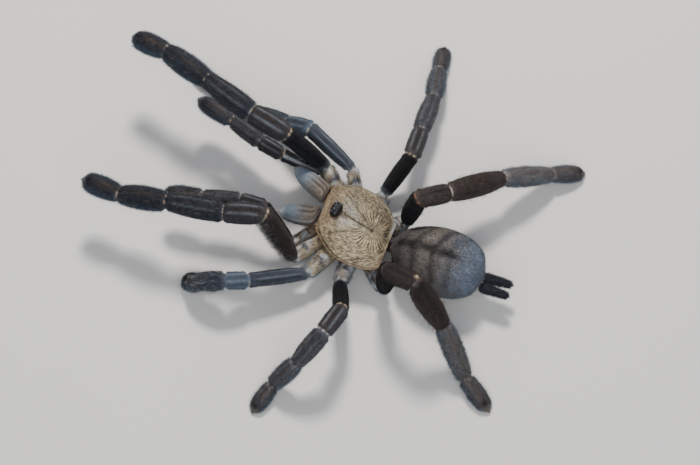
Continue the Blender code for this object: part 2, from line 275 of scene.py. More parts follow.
@dataclass
class Surface:
    """A closed tube of rings: rows along it, columns round it, the last column on the first."""

    name: str
    points: np.ndarray
    tint: np.ndarray
    pelts: dict = field(default_factory=dict)
    nap: np.ndarray | None = None
    atlas: np.ndarray | None = None     # (rows, columns, 2) place of each point on the unwrap
    lie: np.ndarray | None = None       # (rows, columns, 2) mm along and mm round

    def __post_init__(self) -> None:
        """Work out normals, the lie of the hair along the rows, and the mm map."""
        rows = np.gradient(self.points, axis=0)
        open_points = self.points[:, :-1]
        wrapped = np.concatenate((open_points[:, -1:], open_points, open_points[:, :1]), axis=1)
        columns = (wrapped[:, 2:] - wrapped[:, :-2]) / 2
        columns = np.concatenate((columns, columns[:, :1]), axis=1)
        self.normal = unit(np.cross(columns, rows))
        if self.nap is None:
            self.nap = unit(rows)
        steps = np.linalg.norm(np.diff(self.points, axis=0), axis=2)
        along = np.concatenate((np.zeros((1, steps.shape[1])), np.cumsum(steps, axis=0)))
        girth = np.linalg.norm(np.diff(self.points, axis=1), axis=2)
        widest = np.percentile(girth.sum(axis=1), 75)
        around = np.linspace(0.0, widest, self.points.shape[1])[None]
        self.lie = np.stack(np.broadcast_arrays(along.mean(axis=1, keepdims=True), around), axis=-1)

    def place_on_atlas(self, box: tuple) -> None:
        """Give the surface a rectangle of the unwrap: left, bottom, right and top."""
        low, high = np.array(box).reshape(2, 2)
        self.atlas = low + self.lie / self.lie.reshape(-1, 2).max(axis=0) * (high - low)

    def cell_areas(self) -> np.ndarray:
        """Area of every cell of the grid, in square mm."""
        a = self.points[:-1, 1:] - self.points[:-1, :-1]
        b = self.points[1:, :-1] - self.points[:-1, :-1]
        c = self.points[1:, :-1] - self.points[1:, 1:]
        d = self.points[:-1, 1:] - self.points[1:, 1:]
        return (np.linalg.norm(np.cross(a, b), axis=2) + np.linalg.norm(np.cross(c, d), axis=2)) / 2


def ring_grid(centre: np.ndarray, across: np.ndarray, up: np.ndarray, half: np.ndarray, columns: int,
              square: float = 2.0) -> np.ndarray:
    """Rings on a row of centres: cosine of the turn across and its sine up, each to 2 / square.

    Args:
        centre: (rows, 3) ring centres.
        across: unit vector to the ring's side, one for all or one for each ring.
        up: unit vector to its top, likewise.
        half: (rows, 2) half sizes across and up, or (rows,) radii.
        columns: points round a ring; the turn starts at the underside.
        square: 2 for an ellipse, more for a boxier ring.

    Returns:
        (rows, columns + 1, 3) points.
    """
    across, up = (np.broadcast_to(way, centre.shape) for way in (across, up))
    half = np.broadcast_to(half.reshape(len(centre), -1), (len(centre), 2))
    turn = np.linspace(0.0, TAU, columns + 1) - TAU / 4
    c, s = np.cos(turn), np.sin(turn)
    x = np.sign(c) * np.abs(c) ** (2 / square)
    z = np.sign(s) * np.abs(s) ** (2 / square)
    sideways = across[:, None] * (half[:, :1] * x)[..., None]
    upward = up[:, None] * (half[:, 1:] * z)[..., None]
    grid = centre[:, None] + sideways + upward
    grid[:, -1] = grid[:, 0]
    return grid


def quads(grid: np.ndarray) -> np.ndarray:
    """The four corners of every cell of a grid, in turn: (cells, 4) or (cells, 4, values)."""
    corners = (grid[:-1, :-1], grid[:-1, 1:], grid[1:, 1:], grid[1:, :-1])
    return np.stack(corners, axis=2).reshape(-1, 4, *grid.shape[2:])


def turns(points: np.ndarray) -> np.ndarray:
    """Degrees round from the top line for every column of a grid of rings, -180 to 180."""
    return np.linspace(-180.0, 180.0, points.shape[1])[None]


class Shell:
    """Joins closed surfaces into one mesh, with their tint and their lie."""

    def __init__(self) -> None:
        """Start empty."""
        self.points: list = []
        self.tints: list = []
        self.quads: list = []
        self.fans: list = []
        self.quad_lie: list = []
        self.fan_lie: list = []
        self.total = 0

    def add(self, surface: Surface) -> None:
        """Add a surface and close both its ends with a fan.

        Args:
            surface: the tube to add; its seam column is merged.
        """
        rows, columns = surface.points.shape[0], surface.points.shape[1] - 1
        index = np.arange(rows * columns).reshape(rows, columns) + self.total
        index = np.concatenate((index, index[:, :1]), axis=1)
        lie = surface.lie
        self.quads.append(quads(index))
        self.quad_lie.append(quads(lie).reshape(-1, 2))
        self.points.append(surface.points[:, :-1].reshape(-1, 3))
        self.tints.append(surface.tint[:, :-1].reshape(-1, 3))
        self.total += rows * columns
        for row, back in ((0, True), (rows - 1, False)):
            pole = self.total
            self.points.append(surface.points[row, :-1].mean(axis=0)[None])
            self.tints.append(surface.tint[row, :-1].mean(axis=0)[None])
            self.total += 1
            first, second = index[row, :-1], index[row, 1:]
            order = (second, first) if back else (first, second)
            fan = np.column_stack((*order, np.full(columns, pole)))
            edge = (lie[row, 1:], lie[row, :-1]) if back else (lie[row, :-1], lie[row, 1:])
            middle = (edge[0] + edge[1]) / 2
            self.fans.append(fan)
            self.fan_lie.append(np.stack((*edge, middle), axis=1).reshape(-1, 2))

    def build(self, name: str, material: bpy.types.Material) -> bpy.types.Object:
        """Make the mesh.

        Args:
            name: the piece's name.
            material: its finish.

        Returns:
            The piece, at the origin.
        """
        faces = [np.concatenate(self.quads), np.concatenate(self.fans)]
        piece = mesh_piece(name, np.concatenate(self.points), faces, material)
        write_map(piece, "lie", np.concatenate(self.quad_lie + self.fan_lie) * 0.1)
        write_tint(piece, np.concatenate(self.tints))
        return piece


def mesh_piece(name: str, points: np.ndarray, faces: list, material: bpy.types.Material) -> bpy.types.Object:
    """Put points and faces into a smooth mesh object.

    Args:
        name: the piece's name.
        points: (n, 3) in mm.
        faces: arrays of equal-sided faces, each (count, corners).
        material: its finish.

    Returns:
        The linked object, at the origin.
    """
    mesh = bpy.data.meshes.new(name)
    mesh.vertices.add(len(points))
    mesh.vertices.foreach_set("co", (points * MM).astype(np.float32).ravel())
    corners = np.concatenate([f.ravel() for f in faces]).astype(np.int32)
    sizes = np.concatenate([np.full(len(f), f.shape[1]) for f in faces])
    mesh.loops.add(len(corners))
    mesh.loops.foreach_set("vertex_index", corners)
    mesh.polygons.add(len(sizes))
    mesh.polygons.foreach_set("loop_start", (np.cumsum(sizes) - sizes).astype(np.int32))
    mesh.update(calc_edges=True)
    mesh.shade_smooth()
    mesh.materials.append(material)
    piece = bpy.data.objects.new(name, mesh)
    bpy.context.scene.collection.objects.link(piece)
    return piece


def write_map(piece: bpy.types.Object, name: str, corners: np.ndarray) -> None:
    """Write one UV pair for each face corner, in face order."""
    layer = piece.data.uv_layers.new(name=name)
    layer.data.foreach_set("uv", corners.astype(np.float32).ravel())


def write_tint(piece: bpy.types.Object, tints: np.ndarray) -> None:
    """Write one colour for each point, as the attribute that the finishes read."""
    colour = np.column_stack((np.clip(tints, 0.0, 1.0), np.ones(len(tints))))
    layer = piece.data.attributes.new("tint", "FLOAT_COLOR", "POINT")
    layer.data.foreach_set("color", colour.astype(np.float32).ravel())


# --- colours --------------------------------------------------------------------------


def shade(red: int, green: int, blue: int) -> np.ndarray:
    """A display colour of 0 to 255 as linear light."""
    value = np.array((red, green, blue)) / 255.0
    return np.where(value <= 0.04045, value / 12.92, ((value + 0.055) / 1.055) ** 2.4)


TAN = shade(146, 130, 104)
PALE_TAN = shade(198, 182, 142)
UMBER = shade(52, 36, 24)
VELVET_BLACK = shade(15, 14, 17)
CHARCOAL = shade(36, 35, 41)
STEEL = shade(64, 72, 87)
SLATE = shade(84, 102, 120)
PALE_SLATE = shade(122, 142, 158)
SILVER = shade(190, 196, 200)
CREAM = shade(214, 192, 160)
RUST = shade(150, 84, 40)
SOLE_BROWN = shade(42, 30, 26)
FAWN = shade(118, 98, 78)
ABDOMEN_GREY = shade(101, 97, 94)
ABDOMEN_BLUE = shade(110, 126, 147)
ABDOMEN_BLACK = shade(18, 16, 18)


# --- limbs ----------------------------------------------------------------------------


class Part(Enum):
    """The parts of a limb, from the body out."""

    COXA = 0
    FEMUR = 1
    PATELLA = 2
    TIBIA = 3
    METATARSUS = 4
    TARSUS = 5


LEG_PARTS = (Part.COXA, Part.FEMUR, Part.PATELLA, Part.TIBIA, Part.METATARSUS, Part.TARSUS)
PALP_PARTS = (Part.COXA, Part.FEMUR, Part.PATELLA, Part.TIBIA, Part.TARSUS)
LEG_NODES = ("coxa", "femur", "patella", "tibia", "foot")
PALP_NODES = ("coxa", "femur", "shin", "tarsus")
NO_JOINT = 9.0                  # mm, what is read as far from any joint


@dataclass(frozen=True)
class CoatDepth:
    """How far the skin lies under the tips of the coat on each part, in mm."""

    coxa: float = 0.0
    femur: float = 0.24
    patella: float = 0.20
    tibia: float = 0.24
    metatarsus: float = 0.22
    tarsus: float = 0.20

    def of(self, part: Part) -> float:
        """Depth on one part."""
        return getattr(self, part.name.lower())


@dataclass
class LimbFrame:
    """What is known at each ring of a limb: where it is, on which part, and how it is turned."""

    part: np.ndarray            # number of the part
    share: np.ndarray           # 0 to 1 along it
    before: np.ndarray          # mm from the part's root
    after: np.ndarray           # mm to its far end
    centre: np.ndarray
    across: np.ndarray
    up: np.ndarray
    half: np.ndarray


@dataclass
class Limb:
    """One leg or palp, carried as one tube from inside the trunk to its tip."""

    name: str                   # leg_1_left and so on
    frame: dict
    spacing: float = 0.42       # mm between rings
    columns: int = 28
    bend_reach: float = 4.2     # mm from a joint over which the rings turn
    groove: float = 0.42        # depth of the ring of soft skin at a joint
    swell: float = 0.10         # rim on each side of it
    root_sink: float = 1.6      # how far the coxa goes on into the trunk
    root_slice: float = 1.2     # how deep the coxa's inmost points lie
    tip_slice: float = 0.7      # how deep the tip's outmost points lie
    side_blend: float = 0.25    # share of its neighbours' in the side of a part
    least: float = 0.03         # half size of the thinnest ring

    def __post_init__(self) -> None:
        """Read the joints from the solids."""
        self.is_palp = self.name.startswith("palp")
        self.order = 0 if self.is_palp else int(self.name.split("_")[1])
        self.hand = self.name.rsplit("_", 1)[1]
        self.parts, nodes = (PALP_PARTS, PALP_NODES) if self.is_palp else (LEG_PARTS, LEG_NODES)
        self.read_joints([Solid(self.frame["nodes"][f"{self.name}_{node}"]) for node in nodes])

    def read_joints(self, solids: list[Solid]) -> None:
        """Find the joints where the flat ends of neighbours face each other.

        Args:
            solids: the limb's solids, coxa first.
        """
        ends = [s.ends() for s in solids]
        near, far = [], []
        last = np.mean([c for c, _ in ends[1]], axis=0)
        inner = solids[0].points
        away = np.linalg.norm(inner - last, axis=1)
        ring = inner[away > away.max() - self.root_slice]
        first = (ring.mean(axis=0), ring)
        place = first[0]
        near.append(first)
        for here, following in zip(ends, ends[1:]):
            out = max(here, key=lambda e: np.linalg.norm(e[0] - place))
            into = min(following, key=lambda e: np.linalg.norm(e[0] - out[0]))
            far.append(out)
            near.append(into)
            place = into[0]
        joints = [first[0]] + [(a[0] + b[0]) / 2 for a, b in zip(far, near[1:])]
        sizes = [np.linalg.norm(ring - centre, axis=1).mean() for centre, ring in near]
        tip_points = solids[-1].points
        away = np.linalg.norm(tip_points - joints[-1], axis=1)
        tip = tip_points[away > away.max() - self.tip_slice].mean(axis=0)
        joints.append(tip - unit(tip - joints[-1]) * CoatDepth().tarsus)

        # a foot is metatarsus and tarsus, a palp's shin is patella and tibia: they join at the waist
        long_one = 2 if self.is_palp else 4
        waist, size = self.waist(solids[long_one], joints[long_one], joints[long_one + 1])
        joints.insert(long_one + 1, waist)
        sizes.insert(long_one + 1, size)
        solids = list(solids)
        solids.insert(long_one + 1, solids[long_one])
        self.joints = np.array(joints)
        self.joint_sizes = np.array(sizes + [sizes[-1] * 0.4])
        self.solids = solids

    def waist(self, solid: Solid, start: np.ndarray, end: np.ndarray) -> tuple[np.ndarray, float]:
        """The joint inside a solid of two parts, where its outline is smallest.

        Args:
            solid: the solid.
            start: its root joint.
            end: its far end.

        Returns:
            (centre, mean radius) of the smallest outline.
        """
        along = unit(end - start)
        side = unit(np.cross(along, np.array([0.0, 0.0, 1.0])))
        up = np.cross(side, along)
        found = []
        for share in np.linspace(0.40, 0.68, 15):
            centre, half = solid.outline(start + (end - start) * share, along, side, up)
            found.append((centre, sum(half) / 2))
        return min(found, key=lambda item: item[1])

    def sides(self) -> np.ndarray:
        """Level unit vector across each part, evened out with its neighbours'."""
        ways = np.diff(self.joints, axis=0)
        flat = ways * (1.0, 1.0, 0.0)
        beside = np.concatenate((flat[1:2], flat[:-2] + flat[2:], flat[-2:-1]))
        flat = unit(flat + beside * self.side_blend)
        return np.column_stack((-flat[:, 1], flat[:, 0], np.zeros(len(flat))))

    def rings(self) -> LimbFrame:
        """Place the rings: they turn from the plane that halves a bend to square across the part."""
        coat = CoatDepth()
        joints, sides = self.joints, self.sides()
        ways = unit(np.diff(joints, axis=0))
        planes = np.concatenate((ways[:1], unit(ways[:-1] + ways[1:]), ways[-1:]))
        rows = {key: [] for key in ("part", "share", "before", "after", "centre", "across", "up", "half")}
        for i, part in enumerate(self.parts):
            length = np.linalg.norm(joints[i + 1] - joints[i])
            last = i == len(self.parts) - 1
            count = max(int(length / self.spacing), 6)
            share = np.linspace(0.0, 1.0, count + 1)
            share = 1 - (1 - share) ** 1.5 if last else share[:-1]
            reach = min(self.bend_reach, length * 0.48)
            start = np.maximum(0.0, 1 - share * length / reach)[:, None]
            end = np.maximum(0.0, 1 - (1 - share) * length / reach)[:, None] * (not last)
            normal = unit(ways[i] * (1 - start - end) + planes[i] * start + planes[i + 1] * end)
            before_side = sides[max(i - 1, 0)]
            after_side = sides[min(i + 1, len(sides) - 1)]
            side = sides[i] * (2 - start - end) + before_side * start + after_side * end
            across = unit(side - normal * np.sum(side * normal, axis=1)[:, None])
            rows["part"].append(np.full(len(share), part.value))
            rows["share"].append(share)
            rows["before"].append(share * length)
            rows["after"].append((1 - share) * length)
            rows["centre"].append(joints[i] + np.outer(share, joints[i + 1] - joints[i]))
            rows["across"].append(across)
            rows["up"].append(np.cross(normal, across))
            rows["half"].append(self.half_sizes(i, share, sides[i], ways[i], coat.of(part), last))
        frame = LimbFrame(**{key: np.concatenate(value) for key, value in rows.items()})
        frame.half = self.round_joints(frame)
        return frame

    def half_sizes(self, i: int, share: np.ndarray, side: np.ndarray, way: np.ndarray, depth: float,
                   last: bool) -> np.ndarray:
        """Half width and half height of the skin along one part, from cuts through its solid.

        Args:
            i: the part's place in the chain.
            share: 0 to 1 along the part, for each ring.
            side: level unit vector across the part.
            way: unit vector along it.
            depth: depth of the coat there.
            last: whether it ends in the limb's tip.

        Returns:
            (rings, 2) half sizes.
        """
        up = np.cross(way, side)
        stations = np.array((0.22, 0.35, 0.5, 0.65, 0.78))
        if last:
            stations = np.array((0.22, 0.4, 0.55, 0.7, 0.82, 0.92))
        start, end = self.joints[i], self.joints[i + 1]
        cuts = [self.solids[i].outline(start + (end - start) * s, way, side, up)[1] for s in stations]
        root = cuts[0] / np.mean(cuts[0]) * self.joint_sizes[i]
        tip = cuts[-1] / np.mean(cuts[-1]) * (depth if last else self.joint_sizes[i + 1])
        values = np.array([root, *cuts, tip])
        places = np.array([0.0, *stations, 1.0])
        half = between(share, places, values) - depth
        if last:
            close = np.sqrt(np.clip(1 - np.clip((share - 0.80) / 0.20, 0, 1) ** 2, 0, 1))
            half = np.maximum(half, 0.5) * np.maximum(close, self.least)[:, None]
        return np.maximum(half, self.least)

    def round_joints(self, frame: LimbFrame) -> np.ndarray:
        """Even out the sizes, then cut the groove and raise the rims at every joint.

        Args:
            frame: the limb's rings.

        Returns:
            (rings, 2) half sizes.
        """
        half = evened(frame.half, 3)
        gap = np.where(frame.part > Part.COXA.value, frame.before, NO_JOINT)
        gap = np.minimum(gap, np.where(frame.part < Part.TARSUS.value, frame.after, NO_JOINT))
        change = self.swell * blot(gap, 1.15, 0.5) - self.groove * blot(gap, 0.0, 0.55)
        return np.maximum(half + change[:, None], self.least)

    def surface(self) -> Surface:
        """The limb's skin with its markings and every kind of hair."""
        rings = self.rings()
        sunk = rings.centre.copy()
        is_coxa = rings.part == Part.COXA.value
        back = unit(self.joints[1] - self.joints[0]) * self.root_sink
        sunk[is_coxa] -= back * (1 - rings.share[is_coxa])[:, None]
        self.ring_frame = rings
        points = ring_grid(sunk, rings.across, rings.up, rings.half, self.columns)
        marks = LimbMarksAndLight(self, rings, turns(points))
        tint = marks.tint()
        return Surface(self.name, points, tint, marks.pelts(tint))


# --- markings, painted light and hair of a limb ---------------------------------------


@dataclass(frozen=True)
class LimbColours:
    """Ground colour and painted sheen of each part of a limb, coxa first, and its knee ring."""

    ground: tuple
    # painted sheen: lighter colours laid along the flanks, where light catches the hair
    sheen: tuple
    knee: np.ndarray = field(default_factory=lambda: CREAM)


DARK_BROWN = blend(blend(VELVET_BLACK, SOLE_BROWN, 0.35), blend(FAWN, STEEL, 0.5), 0.12)
WARM_GREY = blend(CHARCOAL, FAWN, 0.20)
FOOT_BROWN = blend(FAWN, STEEL, 0.35)
KNEE_RUST = blend(RUST, FAWN, 0.5)
FOOT_GREY = blend(WARM_GREY, blend(STEEL, FAWN, 0.35), 0.55)
BLUE_GREY = blend(CHARCOAL, blend(STEEL, FAWN, 0.25), 0.7)
COXA_TAN = blend(TAN, STEEL, 0.30)
FRONT_COLOURS = LimbColours(
    (COXA_TAN, VELVET_BLACK, blend(CHARCOAL, WARM_GREY, 0.6), CHARCOAL, CHARCOAL,
     blend(CHARCOAL, SOLE_BROWN, 0.4)),
    (PALE_TAN, blend(CHARCOAL, STEEL, 0.3), blend(CHARCOAL, STEEL, 0.6), STEEL, STEEL, SLATE))
SECOND_COLOURS = LimbColours(
    (COXA_TAN, blend(STEEL, WARM_GREY, 0.3), blend(STEEL, SLATE, 0.3), blend(CHARCOAL, STEEL, 0.3), CHARCOAL,
     blend(CHARCOAL, SOLE_BROWN, 0.5)),
    (PALE_TAN, blend(SLATE, FAWN, 0.2), blend(SLATE, PALE_SLATE, 0.5), SLATE, SLATE, SLATE))
THIRD_COLOURS = LimbColours(
    (COXA_TAN, VELVET_BLACK, WARM_GREY, blend(BLUE_GREY, CHARCOAL, 0.20), FOOT_GREY,
     blend(blend(FOOT_GREY, FAWN, 0.30), CHARCOAL, 0.28)),
    (SLATE, CHARCOAL, STEEL, blend(SLATE, FAWN, 0.3), blend(SLATE, PALE_SLATE, 0.2), SLATE))
FOURTH_COLOURS = LimbColours(
    (COXA_TAN, VELVET_BLACK, DARK_BROWN, DARK_BROWN, blend(FOOT_GREY, blend(FAWN, SILVER, 0.2), 0.38),
     blend(FOOT_GREY, FAWN, 0.22)),
    (SLATE, CHARCOAL, WARM_GREY, WARM_GREY, blend(SLATE, PALE_SLATE, 0.4), SLATE), KNEE_RUST)
COLOURS = (FRONT_COLOURS, FRONT_COLOURS, SECOND_COLOURS, THIRD_COLOURS, FOURTH_COLOURS)


@dataclass
class LimbMarksAndLight:
    """Markings, painted light and hair of one limb, worked out ring by ring and round each ring."""

    limb: Limb
    rings: LimbFrame
    turn: np.ndarray            # degrees round from the top line, -180 to 180

    def __post_init__(self) -> None:
        """Lay the ring values out as columns."""
        self.part = self.rings.part[:, None]
        self.coxa, self.femur, self.patella, self.tibia, self.metatarsus, self.tarsus = (
            self.on(part) for part in Part)
        self.share = self.rings.share[:, None]
        self.before = self.rings.before[:, None]
        self.after = self.rings.after[:, None]
        self.off = np.abs(self.turn)
        self.gap = np.minimum(self.before, np.where(self.tarsus > 0, NO_JOINT, self.after))
        size = self.rings.half.mean(axis=1)[:, None]
        round_mm = self.turn / 360.0 * TAU * size
        along = self.before + self.part * 20.0
        seed = self.limb.order * 31.0 + (self.limb.hand == "left") * 57.0
        self.cloud = noise(along, round_mm, seed, scale=1.7)
        self.streak = noise(along * 0.28, round_mm * 2.2, seed)
        self.fine = noise(along, round_mm, seed + 5.0, scale=0.55)

    def on(self, part: Part) -> np.ndarray:
        """1 on a part and 0 elsewhere."""
        return (self.part == part.value).astype(float)

    def band(self, near: Part, width: float) -> np.ndarray:
        """1 at the joint past part `near`, fading over `width` mm to both sides."""
        following = Part(near.value + 1)
        if self.limb.is_palp and near is Part.TIBIA:
            following = Part.TARSUS
        return self.on(near) * (1 - ease(width * 0.5, width, self.after)) + \
            self.on(following) * (1 - ease(width * 0.5, width, self.before))

    def rim(self, near: Part, at: float, width: float) -> np.ndarray:
        """A thin line that runs round part `near`, `at` mm before its far joint."""
        return self.on(near) * blot(self.after, at, width) + \
            self.on(Part(near.value + 1)) * blot(self.before, -at, width)

    def tint(self) -> np.ndarray:
        """Colour of every point of the skin, painted sheen and shade included, (rows, columns, 3)."""
        palette, order, off = COLOURS[self.limb.order], self.limb.order, self.off
        ground, sheen = (np.array(colours)[self.rings.part][:, None]
                         for colours in (palette.ground, palette.sheen))
        # painted sheen: the sheen colours laid along both flanks and beside the top line, streaked
        painted_sheen_band = 0.55 * blot(off, 80, 42) + 0.25 * blot(off, 20, 14)
        tint = blend(ground, sheen, painted_sheen_band * (0.45 + 0.75 * self.streak))
        middle = ease(0.06, 0.22, self.share) * (1 - ease(0.80, 0.95, self.share))

        # paired pale lines down the top of the knee and shin, and of the second thigh
        lines = blot(off, 25, 4.5) * middle
        strength = (self.patella * 0.34 + self.tibia * 0.18) * (order != 4)
        if order == 2:
            strength = strength + self.femur * 0.35
            dark = (blot(off, 9, 6) + blot(off, 48, 9)) * middle
            tint = blend(tint, CHARCOAL, dark * 0.55 * (self.femur + self.patella))
        streak = blot(off, 0, 13) * blot(self.share, 0.35, 0.26) * self.metatarsus
        brown = 0.15 if order in (0, 3, 4) else 0.6
        tip = SILVER if order < 3 else blend(CREAM, SILVER, 0.3)
        tint = painted(
            tint,
            (blend(SILVER, SLATE, 0.5), lines * strength),
            (VELVET_BLACK, blot(off, 0, 9) * middle * self.patella * 0.5),
            # tan streak on the metatarsus, brown top, pale tip and dark spot of the tarsus
            (FOOT_BROWN, streak * 0.3),
            (SOLE_BROWN, self.tarsus * blot(off, 0, 40) * (1 - ease(0.65, 0.9, self.share)) * brown),
            (FOOT_BROWN, self.tarsus * blot(off, 0, 12) * blot(self.share, 0.35, 0.22) * 0.45),
            (tip, self.tarsus * ease(0.80, 0.97, self.share) * 0.35),
            (VELVET_BLACK, self.tarsus * blot(self.share, 0.80, 0.07) * blot(off, 0, 34) * 0.9))
        tint = self.own_marks(self.coxa_marks(self.rings_of_joints(tint, palette)))
        # painted shade: darker toward the underside
        painted_underside_shade = 1 - 0.35 * ease(115, 165, off)
        return np.clip(tint * (painted_underside_shade * (0.72 + 0.30 * self.cloud + 0.30 * self.streak))[..., None], 0, 1)

    def rings_of_joints(self, tint: np.ndarray, palette: LimbColours) -> np.ndarray:
        """Pale soft skin at the joints: rings, arcs over the top, and paired dots.

        Args:
            tint: colours so far.
            palette: the limb's colours.

        Returns:
            The colours with the rings.
        """
        top = 1 - ease(85, 125, self.off)
        patchy = 0.05 + 0.95 * ease(0.42, 0.66, self.streak)
        plain = 0.25 if self.limb.name in ("leg_4_left", "leg_2_left") else 1.0
        pairs = blot(self.off, 33, 11) * plain
        knee = 0.8 if self.limb.order < 4 else 0.55
        tint = painted(
            tint,
            (blend(SILVER, CREAM, 0.5), self.band(Part.COXA, 0.8) * patchy * 0.8),
            (palette.knee, self.rim(Part.FEMUR, 0.10, 0.16) * (0.1 + 0.9 * top) * patchy * knee),
            (blend(CREAM, SILVER, 0.4), self.rim(Part.PATELLA, 0.05, 0.13) * top * patchy * 0.45 * plain),
            (CREAM, self.band(Part.TIBIA, 0.42) * pairs * 0.7))
        if self.limb.is_palp:
            return tint
        rim = self.rim(Part.METATARSUS, 0.0, 0.13)
        return blend(tint, blend(CREAM, SILVER, 0.3), rim * top * patchy * 0.5)

    def coxa_marks(self, tint: np.ndarray) -> np.ndarray:
        """Tan plates on the coxa, parted by dark seams, with broken pale and blue-black patches on top, and
        painted shade on its sides.

        Args:
            tint: colours so far.

        Returns:
            The colours with the coxa's marks, its painted shade and the frost on the root of the femur.
        """
        coxa, femur, fine = self.coxa, self.femur, self.fine
        place = self.share + 0.30 * (self.cloud - 0.5) + 0.10 * (self.streak - 0.5)
        crown = 1 - ease(45, 85, self.off)
        seam = blot(self.turn + 30 * (self.cloud - 0.5), 34, 5)
        rufous = blot(self.turn + 40 * (self.cloud - 0.5), -30, 4)
        frost = femur * (1 - ease(0.02, 0.17, self.share))
        return painted(
            tint,
            (UMBER, coxa * ease(0.50, 0.75, fine) * 0.45),
            (blend(SILVER, PALE_SLATE, 0.45),
             coxa * blot(place, 0.62, 0.08) * ease(0.35, 0.60, fine) * (0.2 + 0.8 * crown) * 0.85),
            (blend(CHARCOAL, STEEL, 0.4),
             coxa * blot(place, 0.76, 0.07) * ease(0.40, 0.58, self.cloud) * crown),
            (SILVER, coxa * ease(0.86, 0.97, place) * ease(0.30, 0.65, fine) * 0.7),
            (UMBER * 0.6, coxa * blot(place, 0.50, 0.022) * ease(0.3, 0.5, fine)),
            (UMBER * 0.6, coxa * seam * ease(0.25, 0.5, place)),
            (RUST, coxa * rufous * ease(0.4, 0.6, fine) * 0.6),
            # painted shade on the coxa's lower sides, where it meets its neighbours
            (UMBER * 0.5, coxa * ease(72, 100, self.off) * 0.85),
            (blend(SLATE, SILVER, 0.3), frost * (0.25 + 0.75 * self.streak) * 0.8),
            (BLUE_GREY, femur * blot(self.share, 0.07, 0.035) * blot(self.off, 0, 34)))

    def own_marks(self, tint: np.ndarray) -> np.ndarray:
        """What only one leg, or one pair, shows, with painted light on the third and fourth pairs.

        Args:
            tint: colours so far.

        Returns:
            The colours with these marks and the painted light.
        """
        name, knees = self.limb.name, self.patella + self.tibia
        if name == "leg_1_left":
            tint = painted(tint, (FAWN, self.femur * (1 - ease(0.1, 0.5, self.share)) * 0.25),
                           (WARM_GREY, self.femur * 0.6))
        elif name == "leg_2_left":
            outer = self.tibia + self.metatarsus + self.tarsus
            tint = painted(tint, (blend(SLATE, SILVER, 0.2), self.patella * blot(self.off, 30, 40) * 0.3),
                           (blend(STEEL, WARM_GREY, 0.4), outer * (0.2 + 0.5 * ease(0.4, 0.7, self.streak))))
        elif self.limb.order == 3:
            # painted light: the left third leg brightened and the right one darkened, as the light falls on
            # each side
            tint = tint * (1.12 if self.limb.hand == "left" else 0.92)
        elif self.limb.order == 4:
            sides = self.patella * blot(self.off, 58, 2.4) * ease(0.30, 0.60, self.cloud)
            tint = blend(tint, KNEE_RUST, sides * 0.55)
            if name == "leg_4_left":
                spot = self.patella * blot(self.after, 0.8, 0.4) * blot(self.turn, -32, 12)
                tint = blend(tint, CREAM, spot)
            # lighter patella and tibia as their colour; the right fourth leg, its knee and shin most,
            # brightened further as painted light
            low, more = (1.04, 0.12) if name == "leg_4_left" else (1.20, 0.55)
            tint = tint * (low + more * knees)[..., None]
        elif self.limb.is_palp:
            ends = self.tibia + self.tarsus
            tint = blend(tint, blend(FOOT_BROWN, SLATE, 0.3), ends * 0.3 * (0.5 + self.streak))
            if name == "palp_right":
                tint = blend(tint, SILVER, self.femur * blot(self.turn, -30, 14) * 0.75)
        return tint

    def pelts(self, tint: np.ndarray) -> dict:
        """Hair of every kind over the limb.

        Args:
            tint: the skin's colours.

        Returns:
            The pelts by kind.
        """
        clear = ease(0.10, 0.75, self.gap)
        coxa, femur = self.coxa, self.femur
        feet = self.metatarsus + self.tarsus
        end = ease(0.9, 1.0, self.share) * self.tarsus
        velvet = Pelt((22 * coxa + 26 * femur + 22 * (1 - coxa - femur)) * (0.12 + 0.88 * clear),
                      (1.00 - 0.58 * coxa - 0.20 * femur - 0.20 * self.patella) * (0.35 + 0.65 * clear),
                      24 - 8 * coxa + 8 * feet + 20 * end)
        sides = 0.35 + 0.65 * ease(30, 75, self.off)
        weak = 0.85 if self.limb.order in (3, 4) else 1.0
        rim = blot(self.off, 88, 26)
        frill = coxa * ease(0.45, 0.9, self.share) * ease(0.35, 0.6, self.fine)
        brush = Pelt(feet * (11 + 11 * rim) * weak * sides * (0.2 + 0.8 * clear) + end * 12 + frill * 9,
                     (0.90 + 0.70 * rim) * (0.80 + 0.20 * weak) * (1 - 0.3 * coxa),
                     (44 + 12 * rim) * (0.8 + 0.2 * weak) * (1 - 0.4 * end),
                     blend(tint, blend(SLATE, PALE_SLATE, 0.3), (0.15 + 0.45 * rim) * (1 - coxa) + 0.8 * coxa)
                     * (1 + 0.8 * coxa)[..., None], 18.0)
        shin = self.tibia + self.metatarsus
        long_leg = 1.25 if self.limb.order == 4 else 1.0
        count = 0.35 * femur + 0.4 * self.patella + 0.6 * shin + 0.3 * self.tarsus + 0.5 * coxa
        length = 1.5 + 0.7 * shin - 0.6 * coxa - 0.5 * self.tarsus
        bristle = Pelt(count * clear, length * long_leg * (0.7 + 0.6 * self.cloud),
                       38 + 8 * shin,
                       blend(blend(tint, FAWN, 0.45 / max(self.limb.order - 2, 1)), SILVER,
                             0.12 * self.streak * (self.limb.order != 4) + 0.4 * coxa), 25.0)
        pelts = {Hair.VELVET: velvet, Hair.BRUSH: brush, Hair.BRISTLE: bristle}
        if (fringe := self.fringe(tint)) is not None:
            pelts[Hair.LONG] = fringe
        return pelts

